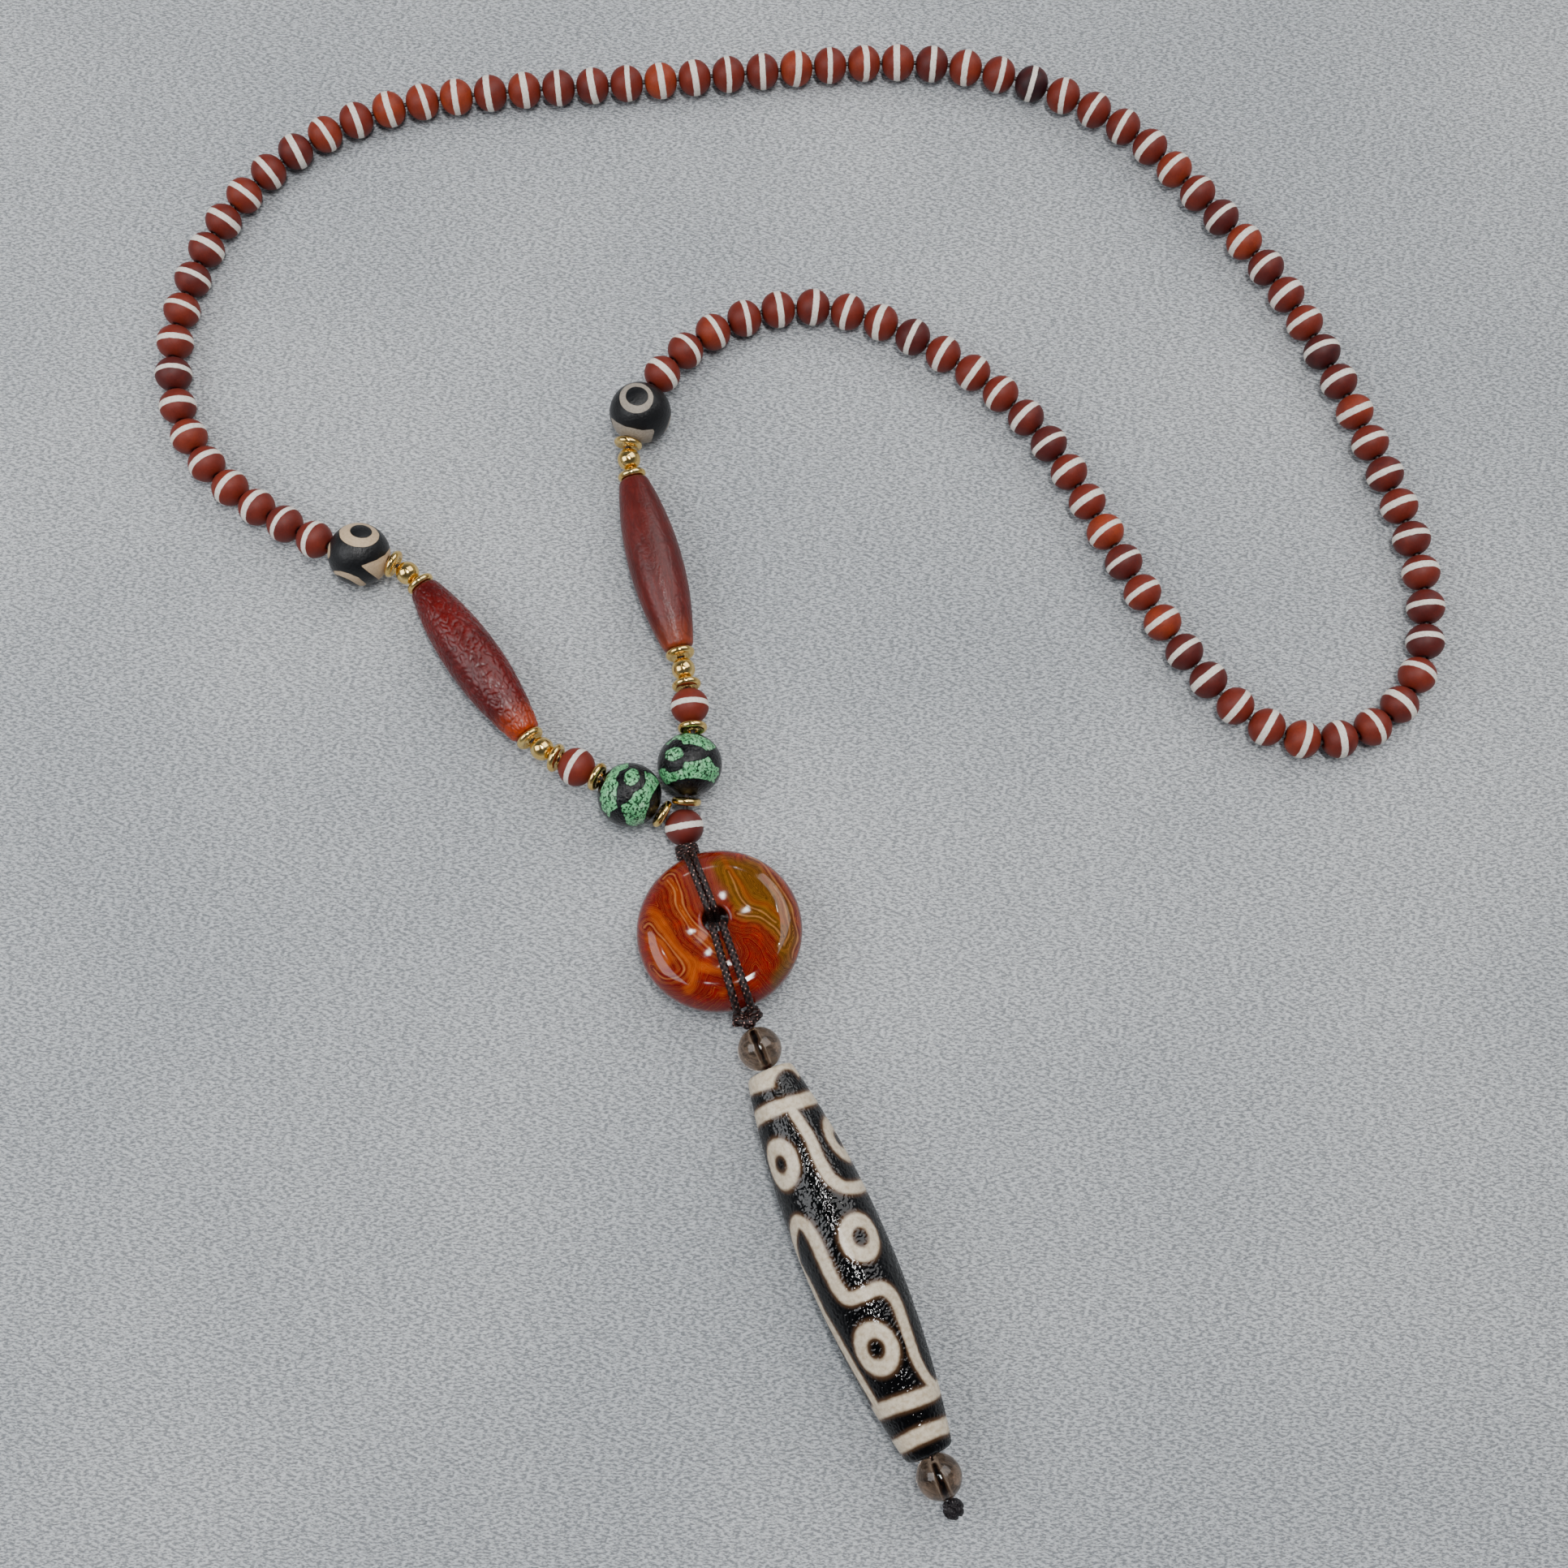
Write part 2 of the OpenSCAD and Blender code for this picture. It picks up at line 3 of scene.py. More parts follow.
import bpy
import numpy as np
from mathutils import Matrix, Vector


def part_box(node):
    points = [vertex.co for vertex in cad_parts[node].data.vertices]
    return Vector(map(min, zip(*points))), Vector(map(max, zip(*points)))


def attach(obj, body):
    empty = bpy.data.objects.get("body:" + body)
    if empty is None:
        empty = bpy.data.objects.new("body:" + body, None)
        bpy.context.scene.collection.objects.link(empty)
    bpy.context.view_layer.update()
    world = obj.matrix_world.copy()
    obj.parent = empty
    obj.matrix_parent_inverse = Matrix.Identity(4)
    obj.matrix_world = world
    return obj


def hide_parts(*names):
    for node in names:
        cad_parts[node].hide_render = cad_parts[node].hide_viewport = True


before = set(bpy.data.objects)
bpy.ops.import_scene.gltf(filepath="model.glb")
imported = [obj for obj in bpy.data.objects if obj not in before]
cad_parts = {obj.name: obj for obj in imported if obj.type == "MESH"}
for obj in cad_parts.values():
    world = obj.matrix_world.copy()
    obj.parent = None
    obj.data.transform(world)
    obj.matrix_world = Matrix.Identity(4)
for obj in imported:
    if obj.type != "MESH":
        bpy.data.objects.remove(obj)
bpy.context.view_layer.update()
MM = 0.001

# The view. The necklace lies on a pale table and is seen from above and a little from the
# pendant's side, through a lens whose height and tilt are measured from the guru bead.
GURU_R = 3.0
LENS_FROM_GURU = np.array([15.37, -65.54, 280.09]) * MM
LENS_TILT, LENS_WIDE = 14.5, 45.56


def mid_of(node):
    """The middle of a CAD node's box, in metres."""
    low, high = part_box(node)
    return (np.array(low) + np.array(high)) / 2


guru_mid = mid_of("guru_bead")
guru_mid[2] = GURU_R * MM
lens_at = guru_mid + LENS_FROM_GURU
camera = bpy.data.objects.new("camera", bpy.data.cameras.new("camera"))
camera.data.angle = math.radians(LENS_WIDE)
camera.data.clip_start = 0.01
camera.location = lens_at
camera.rotation_euler = (math.radians(LENS_TILT), 0, 0)
bpy.context.scene.collection.objects.link(camera)
bpy.context.scene.camera = camera

# The table: a plain pale cloth, with one soft lamp above on the right, a fill on the left, panels
# and small lamps that show as bright spots on polished stone, and walls paler than the ceiling.
TABLE_HALF, TABLE_LOW = 0.9, 0.00005
WEAVE_TURN, WEAVE_SCALE = 0.9, (1300, 3400, 1300)
CEILING = 0.70
PANELS = [(0.012, 0.030), (0.048, -0.033), (0.088, -0.110)]
SMALL_LAMPS = [(-0.18, 0.40), (-0.05, 0.41), (-0.12, 0.35), (0.06, 0.28), (-0.22, 0.17),
               (-0.11, 0.08), (0.26, 0.12), (0.14, -0.14), (-0.34, -0.16)]


def join(tree, made, **sockets):
    """Sets a node's sockets to values or to other nodes' outputs. A socket is named with _ for a
    space, or by number as i0, i1 and so on."""
    for key, value in sockets.items():
        index = int(key[1:]) if key[0] == "i" and key[1:].isdigit() else key.replace("_", " ")
        if isinstance(value, bpy.types.NodeSocket):
            tree.links.new(value, made.inputs[index])
        else:
            made.inputs[index].default_value = value
    return made


def put(tree, kind, settings=None, **sockets):
    """One new shader node."""
    made = tree.nodes.new("ShaderNode" + kind)
    for key, value in (settings or {}).items():
        setattr(made, key, value)
    return join(tree, made, **sockets)


def noise(tree, place, scale, detail, rough=0.5, bend=0.0):
    """Cloudy noise from 0 to 1."""
    return put(tree, "TexNoise", Vector=place, Scale=scale, Detail=detail, Roughness=rough,
               Distortion=bend).outputs["Fac"]


def ramp(tree, value, *stops):
    """A colour that runs smoothly through the stops (place, colour) as value goes from 0 to 1."""
    made = put(tree, "ValToRGB", Fac=value)
    made.color_ramp.interpolation = "EASE"
    band = made.color_ramp.elements
    while len(band) < len(stops):
        band.new(0.5)
    for spot, (place, colour) in zip(band, stops):
        spot.position, spot.color = place, (*colour, 1)
    return made.outputs["Color"]


def blend(tree, share, a, b, how="MIX"):
    """Colour a where share is 0 and colour b where it is 1."""
    a, b = (v if isinstance(v, bpy.types.NodeSocket) else (*v, 1) for v in (a, b))
    return put(tree, "Mix", {"data_type": "RGBA", "blend_type": how}, i0=share, i6=a, i7=b).outputs[2]


def bumped(tree, height, strength, distance):
    """The normal of a relief whose height from 0 to 1 stands for a distance in metres."""
    return put(tree, "Bump", Height=height, Strength=strength, Distance=distance).outputs[0]


def new_finish(name):
    """An empty material, its tree, and its shader already joined to the output."""
    material = bpy.data.materials.new(name)
    material.use_nodes = True
    return material, material.node_tree, material.node_tree.nodes["Principled BSDF"]


def mesh_piece(name, points, faces, fields=None):
    """A smooth object from arrays of points and four-sided faces; fields are kept as attributes."""
    mesh = bpy.data.meshes.new(name)
    points = np.asarray(points, np.float32).reshape(-1, 3)
    faces = np.asarray(faces, np.int32).reshape(-1, 4)
    mesh.vertices.add(len(points))
    mesh.vertices.foreach_set("co", points.ravel())
    mesh.loops.add(faces.size)
    mesh.loops.foreach_set("vertex_index", faces.ravel())
    mesh.polygons.add(len(faces))
    mesh.polygons.foreach_set("loop_start", np.arange(len(faces), dtype=np.int32) * 4)
    mesh.update(calc_edges=True)
    mesh.validate()
    for key, values in (fields or {}).items():
        kind, part = ("FLOAT_VECTOR", "vector") if key == "place" else ("FLOAT", "value")
        kept = mesh.attributes.new(key, kind, "POINT")
        kept.data.foreach_set(part, np.asarray(values, np.float32).ravel())
    mesh.polygons.foreach_set("use_smooth", np.ones(len(faces), bool))
    made = bpy.data.objects.new(name, mesh)
    bpy.context.scene.collection.objects.link(made)
    return made


def lamp(name, place, size, watts, colour, aim):
    """A square lamp at a place, facing another."""
    light = bpy.data.lights.new(name, "AREA")
    light.size, light.energy, light.color = size, watts, colour
    made = bpy.data.objects.new(name, light)
    made.location = place
    x, y, z = np.subtract(aim, place).tolist()
    made.rotation_euler = (math.atan2(math.hypot(x, y), -z), 0, math.atan2(x, -y) + math.pi)
    bpy.context.scene.collection.objects.link(made)


cloth, tree, shader = new_finish("table_cloth")
spot = put(tree, "TexCoord").outputs["Object"]
stretched = put(tree, "Mapping", Vector=spot, Rotation=(0, 0, WEAVE_TURN), Scale=WEAVE_SCALE).outputs[0]
weave = noise(tree, stretched, 1.0, 4.0, 0.65)
pale = ramp(tree, noise(tree, spot, 14.0, 2.0), (0.3, (0.66, 0.69, 0.72)), (0.7, (0.80, 0.82, 0.84)))
shade = ramp(tree, weave, (0.40, (0.36, 0.37, 0.38)), (0.60, (1, 1, 1)))
join(tree, shader, Base_Color=blend(tree, 1.0, pale, shade, "MULTIPLY"), Roughness=0.85,
     Normal=bumped(tree, weave, 1.0, 0.0006))
corners = np.array([[-1, -1, 0], [1, -1, 0], [1, 1, 0], [-1, 1, 0]]) * TABLE_HALF
table = mesh_piece("table", corners - [0, 0, TABLE_LOW], [[0, 1, 2, 3]])
table.data.materials.append(cloth)

lamp("main_lamp", (0.80, 0.78, 1.15), 1.25, 15.5, (1, 1, 1), (0, 0, 0))
lamp("fill_lamp", (-0.44, -0.06, 0.44), 0.40, 2.2, (0.95, 0.97, 1.0), (0, 0, 0))
for kind, size, watts, colour, places in (("ceiling_panel", 0.05, 0.95, (1, 1, 1), PANELS),
                                          ("small_lamp", 0.009, 0.09, (1, 0.97, 0.92), SMALL_LAMPS)):
    for number, (x, y) in enumerate(places, 1):
        lamp(f"{kind}_{number}", (x, y, CEILING), size, watts, colour, (x, y, 0))
sky = bpy.data.worlds.new("soft_room")
bpy.context.scene.world = sky
sky.use_nodes = True
tree = sky.node_tree
high = put(tree, "SeparateXYZ", Vector=put(tree, "TexCoord").outputs["Generated"]).outputs["Z"]
walls = ramp(tree, high, (0.0, (0.86, 0.90, 0.96)), (0.3, (0.42, 0.45, 0.50)), (0.6, (0.16, 0.17, 0.19)),
             (1.0, (0.10, 0.105, 0.115)))
join(tree, tree.nodes["Background"], Color=walls, Strength=0.5)

# The stringing row. Every bead and spacer sits between two knots of one route, which runs up
# the left strand, round the neck loop and down the right strand; lengths fix where they lie.
BEAD_D, BEAD_BORE, BEADS, STRING_GAP, SPACER_GAP = 6.0, 1.3, 88, 0.3, 0.2
STRAND = ["disc", "green", "disc", "stripe", "disc", "ball", "disc", "barrel", "disc", "ball", "disc", "eye"]
LENGTHS = {"disc": 1.3, "ball": 3.7, "green": 9.7, "stripe": 5.55, "barrel": 29.6, "eye": 9.7, "bead": 5.55}
LEFT_FOOT = [[-17.5, 9.5], [-21.8, 11.6], [-24.5, 14.5]]
LOOP = [
    [-41.7, 38.6], [-43.2, 40.3], [-46.4, 42.2], [-47.8, 42.8], [-52.7, 43.8], [-57.4, 45.3],
    [-62, 48], [-70, 53], [-78, 60], [-83.4, 70], [-84.8, 82], [-82.5, 94], [-78, 105],
    [-70.8, 114.2], [-61.5, 121.2], [-50, 126], [-33, 128.7], [-10, 130.5], [14, 133],
    [31.5, 134.5], [43.5, 134], [54.5, 131.5], [65.2, 127], [75, 120.5], [86, 108], [96.5, 94],
    [104.5, 78.3], [111, 62], [116, 46], [117, 35], [115, 24.5], [109.8, 17.6], [103.8, 14.2],
    [97.6, 13.4], [91.6, 15], [86.2, 18.8], [81, 24.5], [74.5, 34], [66.7, 48.5], [58.8, 63],
    [50.3, 73], [37.8, 82], [29.5, 86.2], [20.5, 88.3], [11, 87], [2.5, 82.8], [-4, 76], [-8, 69],
    [-9.6, 63.5], [-9.9, 61], [-9.2, 58], [-8.9, 56.9],
]
RIGHT_FOOT = [[-1.1, 28.3], [0.2, 22]]
GREEN_D, GREEN_CLEAR, GREEN_RISE, FORK_LEAN = 10.0, 0.4, 0.7, 28.0
BARREL_D, EYE_D, SLOPING = 8.7, 10.0, 3
ROW = STRAND + ["bead"] * BEADS + STRAND[::-1]


def lean(angle):
    """The direction in plan that leans by angle degrees to the left of straight up."""
    return np.array([-math.sin(math.radians(angle)), math.cos(math.radians(angle))])


def unit(v):
    """The same direction with length 1."""
    return v / np.linalg.norm(v, axis=-1, keepdims=True)


def smooth_route(points, parts=16):
    """A curve through points: between two, a cubic whose end slopes come from the neighbours,
    each weighed by the square root of its distance."""
    p = np.asarray(points, float)
    q = np.vstack([2 * p[0] - p[1], p, 2 * p[-1] - p[-2]])
    a, b, c, d = q[:-3], q[1:-2], q[2:-1], q[3:]
    ab, bc, cd = (np.sqrt(np.linalg.norm(v, axis=1))[:, None] for v in (b - a, c - b, d - c))
    m1 = bc * ((b - a) / ab - (c - a) / (ab + bc) + (c - b) / bc)
    m2 = bc * ((c - b) / bc - (d - b) / (bc + cd) + (d - c) / cd)
    t = (np.arange(parts) / parts)[None, :, None]
    b, c, m1, m2 = b[:, None], c[:, None], m1[:, None], m2[:, None]
    run = (2 * t**3 - 3 * t**2 + 1) * b + (t**3 - 2 * t**2 + t) * m1
    run = run + (3 * t**2 - 2 * t**3) * c + (t**3 - t**2) * m2
    return np.vstack([run.reshape(-1, p.shape[1]), p[-1:]])


def lay_row():
    """The knots between pieces: steps of the pieces' lengths and half gaps along the route, each
    stretched by what its chord cuts off, then the route scaled until the chords just fit."""
    inside = [STRING_GAP if "bead" in pair else SPACER_GAP for pair in zip(ROW[:-1], ROW[1:])]
    gaps = np.array([SPACER_GAP] + inside + [SPACER_GAP])
    steps = np.array([LENGTHS[kind] for kind in ROW]) + (gaps[:-1] + gaps[1:]) / 2
    start = GURU_R + SPACER_GAP / 2
    out = start + LENGTHS["disc"] + LENGTHS["green"] / 2 + 1.5 * SPACER_GAP
    half = math.degrees(math.asin((GREEN_D + GREEN_CLEAR) / 2 / out))
    left, right = lean(FORK_LEAN + half), lean(FORK_LEAN - half)
    end = out + LENGTHS["green"] / 2 + SPACER_GAP / 2
    loop, left_top, right_top = np.array(LOOP), np.array(LEFT_FOOT[-1]), np.array(RIGHT_FOOT[0])
    barrel = LENGTHS["barrel"] + SPACER_GAP
    first_push = unit(loop[0] - left_top) * (barrel - np.linalg.norm(loop[0] - left_top))
    last_push = unit(loop[-1] - right_top) * (barrel - np.linalg.norm(loop[-1] - right_top))
    share = np.linspace(0, 1, len(loop))[:, None]
    loop = loop + (1 - share) * first_push + share * last_push
    curve = smooth_route([left * start, left * end / 2, left * end, *LEFT_FOOT, (left_top + loop[0]) / 2,
                          *loop, (loop[-1] + right_top) / 2, *RIGHT_FOOT, right * end, right * end / 2,
                          right * start])
    at = np.concatenate([[0], np.cumsum(np.linalg.norm(np.diff(curve, axis=0), axis=1))])
    whole = at[-1]
    at = at / whole

    def on_curve(share):
        return np.stack([np.interp(share, at, curve[:, 0]), np.interp(share, at, curve[:, 1])], -1)

    share = np.concatenate([[0], np.cumsum(steps)]) / steps.sum()
    chord = np.linalg.norm(np.diff(on_curve(share), axis=0), axis=1)
    longer = steps * steps / chord
    share = np.concatenate([[0], np.cumsum(longer)]) / longer.sum()
    chord = np.linalg.norm(np.diff(on_curve(share), axis=0), axis=1)
    plan = on_curve(share) * steps.sum() / chord.sum()
    green, barrel, eye = STRAND.index("green"), STRAND.index("barrel"), STRAND.index("eye")
    rise = [(-start / whole, GURU_R), (share[green], GREEN_D / 2 - GREEN_RISE)]
    rise += [(share[green + 1], GREEN_D / 2 + GREEN_RISE)]
    rise += [(share[barrel + i], BARREL_D / 2) for i in (0, 1)]
    rise += [(share[eye + i], EYE_D / 2) for i in (0, 1)] + [(share[eye + 1 + SLOPING], BEAD_D / 2)]
    rise = np.array(rise + [(1 - s, h) for s, h in reversed(rise)])
    return np.column_stack([plan, np.interp(share, rise[:, 0], rise[:, 1])])


row = lay_row() * MM + [guru_mid[0], guru_mid[1], 0]
row_mid = (row[1:] + row[:-1]) / 2
row_way = np.diff(row, axis=0)
row_way /= np.linalg.norm(row_way, axis=1)[:, None]

# The string round the neck: beads of frosted red-brown stone, each with a white band round
# its middle that was painted on in soda and fired in. Some bands are ragged or off the middle.
BAND_HALF = 0.47
BEAD_AROUND = 34
CLOUD_STEP = np.array([17.3, 5.1, 9.7])
DARKEST, DARKEST_TONE = 37, 1.05
rng = np.random.default_rng(7)


def piece_number(side, kind, number=1):
    """The place in the row of one strand's piece, counted from the guru bead up."""
    found = [i for i, k in enumerate(STRAND) if k == kind][number - 1]
    return found if side == "left" else len(ROW) - 1 - found


def facing(way, at):
    """Three directions of a bead: to the right, along its hole and up towards the lens."""
    along = unit(np.asarray(way, float))
    up = unit(lens_at - np.asarray(at, float))
    right = unit(np.cross(along, up))
    return np.stack([right, along, np.cross(right, along)])


def round_profile(d, length, bore, outside=20, inside=3):
    """Distance from the axis and place along it, in mm, round a bead's closed section: an arc of
    half its length, moved out, and back along the bore."""
    off, r = (d - length) / 2, length / 2
    edge = math.acos((bore / 2 - off) / r)
    turn = np.linspace(-edge, edge, outside)
    back = np.linspace(r * math.sin(edge), -r * math.sin(edge), inside + 2)[1:-1]
    return np.vstack([np.column_stack([off + r * np.cos(turn), r * np.sin(turn)]),
                      np.column_stack([np.full(inside, bore / 2), back])])


def turned(profile, around):
    """A section turned round the Y axis: x = r sin a, z = r cos a, with a from the upper side."""
    angle = np.arange(around) * 2 * math.pi / around
    r, along = profile[:, 0][:, None], profile[:, 1][:, None]
    return np.stack([r * np.sin(angle), along + 0 * angle, r * np.cos(angle)], -1)


def placed(local, way, middle):
    """A bead's points in mm set out along its hole's way at its middle, in metres."""
    return local @ facing(way, middle) * MM + middle


def grid_faces(rows, columns, close_rows=True):
    """Four-sided faces of a grid of points, row by row, whose rows may close on themselves."""
    r = np.arange(rows if close_rows else rows - 1)[:, None]
    c = np.arange(columns)[None, :]
    a, b = (r + 1) % rows, (c + 1) % columns
    return np.stack([r * columns + c, r * columns + b, a * columns + b, a * columns + c], -1).reshape(-1, 4)


def dress(piece, material, node):
    """Gives a new piece its finish and its place in the frame, and hides the CAD node it stands for."""
    piece.data.materials.append(material)
    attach(piece, "root")
    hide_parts(node)


def striped_beads(name, numbers, band_wide, band_tilt, band_off, tones):
    """Beads on the row as one mesh. The band field is the distance in mm from the white band's
    edge, with the band's plane tilted and moved; tone is each bead's darkness from 0 to 1; and
    each bead's place is moved by a step, so that no two have the same clouds."""
    local = turned(round_profile(BEAD_D, LENGTHS["bead"], BEAD_BORE), BEAD_AROUND)
    points, fields = [], {"place": [], "band": [], "tone": []}
    for k, i in enumerate(numbers):
        points.append(placed(local, row_way[i], row_mid[i]))
        plane = local[..., 1] + local @ np.array([band_tilt[k][0], 0, band_tilt[k][1]]) - band_off[k]
        fields["band"].append(np.abs(plane) - band_wide[k])
        fields["tone"].append(np.full(local.shape[:2], tones[k]))
        fields["place"].append(local + k * CLOUD_STEP)
    rows, columns = local.shape[:2]
    first = np.arange(len(numbers))[:, None, None] * rows * columns
    return mesh_piece(name, points, grid_faces(rows, columns) + first, fields)


def sums(tree, operation, a, b=0.0, c=0.0):
    """The result of one sum on numbers."""
    return put(tree, "Math", {"operation": operation}, i0=a, i1=b, i2=c).outputs[0]


def scaled(tree, value, by, plus=0.0):
    """value times by, plus one more."""
    return sums(tree, "MULTIPLY_ADD", value, by, plus)


def remap(tree, value, low, high, low_out, high_out, how="LINEAR"):
    """A number that goes from low_out to high_out while value goes from low to high."""
    return put(tree, "MapRange", {"interpolation_type": how}, i0=value, i1=low, i2=high, i3=low_out,
               i4=high_out).outputs[0]


def edge_group():
    """A drawn line's mask: 1 where Distance is below 0, with Ragged mm of wander and Soft mm of
    blur at its edge."""
    group = bpy.data.node_groups.new("drawn_line", "ShaderNodeTree")
    group.interface.new_socket("Vector", in_out="INPUT", socket_type="NodeSocketVector")
    for name, start in (("Distance", 0.0), ("Ragged", 0.1), ("Fineness", 2.0), ("Soft", 0.05)):
        made = group.interface.new_socket(name, in_out="INPUT", socket_type="NodeSocketFloat")
        made.default_value = start
    group.interface.new_socket("Mask", in_out="OUTPUT", socket_type="NodeSocketFloat")
    come = group.nodes.new("NodeGroupInput").outputs
    leave = group.nodes.new("NodeGroupOutput")
    wander = noise(group, come["Vector"], come["Fineness"], 3.0)
    wander = scaled(group, wander, come["Ragged"], come["Distance"])
    moved = scaled(group, come["Ragged"], -0.5, wander)
    soft = come["Soft"]
    join(group, leave, Mask=remap(group, moved, scaled(group, soft, -1.0), soft, 1.0, 0.0, "SMOOTHSTEP"))
    return group


drawn_line = edge_group()


def line_mask(tree, vector, distance, ragged, fineness, soft):
    """One use of the drawn line group."""
    return put(tree, "Group", {"node_tree": drawn_line}, Vector=vector, Distance=distance,
               Ragged=ragged, Fineness=fineness, Soft=soft).outputs["Mask"]


def field(tree, name):
    """A field that was kept with a mesh."""
    kept = put(tree, "Attribute", {"attribute_name": name})
    return kept.outputs["Vector" if name == "place" else "Fac"]


def striped_finish():
    """Frosted stone from orange-brown to maroon, cloudy inside, with a chalky white band."""
    material, tree, shader = new_finish("striped_stone")
    place = field(tree, "place")
    cloud, grain = noise(tree, place, 0.28, 3.0, 0.6), noise(tree, place, 3.2, 5.0, 0.7)
    mixed = scaled(tree, cloud, 0.55, scaled(tree, field(tree, "tone"), 0.8, -0.2))
    stone = ramp(tree, mixed, (0.0, (0.30, 0.040, 0.010)), (0.35, (0.165, 0.018, 0.008)),
                 (0.7, (0.085, 0.010, 0.008)), (1.0, (0.022, 0.004, 0.006)))
    speck = ramp(tree, grain, (0.3, (0.8, 0.8, 0.8)), (0.75, (1.12, 1.1, 1.1)))
    stone = blend(tree, 1.0, stone, speck, "MULTIPLY")
    band = line_mask(tree, place, field(tree, "band"), 0.22, 1.1, 0.07)
    chalk = ramp(tree, grain, (0.3, (0.62, 0.55, 0.47)), (0.6, (0.84, 0.79, 0.71)))
    join(tree, shader, Base_Color=blend(tree, band, stone, chalk), Roughness=scaled(tree, grain, 0.2, 0.42),
         Specular_IOR_Level=0.35, Subsurface_Weight=0.06, Subsurface_Radius=(1.0, 0.25, 0.1),
         Subsurface_Scale=0.0012, Normal=bumped(tree, scaled(tree, band, -0.3, grain), 0.25, 0.00008))
    return material


striped_stone = striped_finish()
string_numbers = list(range(len(STRAND), len(STRAND) + BEADS))
tones = np.clip(rng.normal(0.47, 0.22, BEADS), 0.02, 0.9)
tones[DARKEST] = DARKEST_TONE
wide = BAND_HALF * rng.uniform(0.85, 1.2, BEADS)
tilt = rng.normal(0, 0.07, (BEADS, 2))
off = rng.normal(0, 0.16, BEADS)
string = striped_beads("neck_string", string_numbers, wide, tilt, off, tones)
dress(string, striped_stone, "bead_string")
for side in ("left", "right"):
    one = striped_beads(f"{side}_striped_bead", [piece_number(side, "stripe")], [BAND_HALF * 0.9],
                        [[0.05, -0.03]], [0.05], [0.35])
    dress(one, striped_stone, f"{side}_stripe_bead")

# The thread: one dark waxed line through every piece, seen only in the gaps between them. It is
# the CAD's own shape in a finish of its own.


def refinish(node, material):
    """A CAD node that is shown as it is, in a better finish."""
    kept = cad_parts[node]
    kept.data.materials.clear()
    kept.data.materials.append(material)


def thread_finish():
    """Thin waxed thread, nearly black, with a fine lay on the object's own coordinates."""
    material, tree, shader = new_finish("waxed_thread")
    lay = noise(tree, put(tree, "TexCoord").outputs["Object"], 4000.0, 2.0)
    join(tree, shader, Base_Color=ramp(tree, lay, (0.3, (0.012, 0.008, 0.008)), (0.7, (0.06, 0.035, 0.03))),
         Roughness=0.5, Normal=bumped(tree, lay, 0.4, 0.00005))
    return material


refinish("thread", thread_finish())

# Gold spacers: discs with a thick rolled rim and a thin web inside it, and small balls, all
# plated in bright gold. They sit between the larger beads and keep them apart.
DISC_D, DISC_RIM, DISC_WEB, DISC_HUB_D, DISC_EASE = 4.6, 1.2, 0.7, 1.7, 0.08
SPACER_BORE, GOLD_AROUND = 1.3, 56


def disc_profile():
    """Distance from the axis and place along it, in mm, round a disc's closed section: bore,
    hub, web, round rim and back."""
    rim_r, rim_x = DISC_RIM / 2, (DISC_D - DISC_RIM) / 2
    meet = math.pi - math.asin(DISC_WEB / DISC_RIM)
    turn = np.linspace(meet, -meet, 26)
    rim = np.column_stack([rim_x + rim_r * np.cos(turn), rim_r * np.sin(turn)])
    bore, hub, top, web = SPACER_BORE / 2, DISC_HUB_D / 2, LENGTHS["disc"] / 2, DISC_WEB / 2
    upper = np.array([[bore, top - DISC_EASE], [bore + DISC_EASE / 2, top], [hub - DISC_EASE, top],
                      [hub, top - DISC_EASE], [hub + 0.02, web + 0.02]])
    return np.vstack([upper, rim, upper[::-1] * [1, -1]])[::-1]


def gold_finish():
    """Bright plating with faint swirls left by polishing."""
    material, tree, shader = new_finish("bright_gold")
    swirl = noise(tree, field(tree, "place"), 0.9, 3.0)
    join(tree, shader, Base_Color=ramp(tree, swirl, (0.3, (0.80, 0.52, 0.15)), (0.7, (0.92, 0.68, 0.27))),
         Roughness=scaled(tree, swirl, 0.12, 0.10), Metallic=1.0, Normal=bumped(tree, swirl, 0.05, 0.00005))
    return material


bright_gold = gold_finish()
ball_profile = round_profile(LENGTHS["ball"], LENGTHS["ball"], SPACER_BORE, 30)
for side in ("left", "right"):
    for kind, count, profile in (("disc", 6, disc_profile()), ("ball", 2, ball_profile)):
        for number in range(1, count + 1):
            i = piece_number(side, kind, number)
            local = turned(profile, GOLD_AROUND)
            piece = mesh_piece(f"{side}_gold_{kind}_{number}", placed(local, row_way[i], row_mid[i]),
                               grid_faces(*local.shape[:2]), {"place": local + number * 7.0})
            dress(piece, bright_gold, f"{side}_{kind}_{number}")

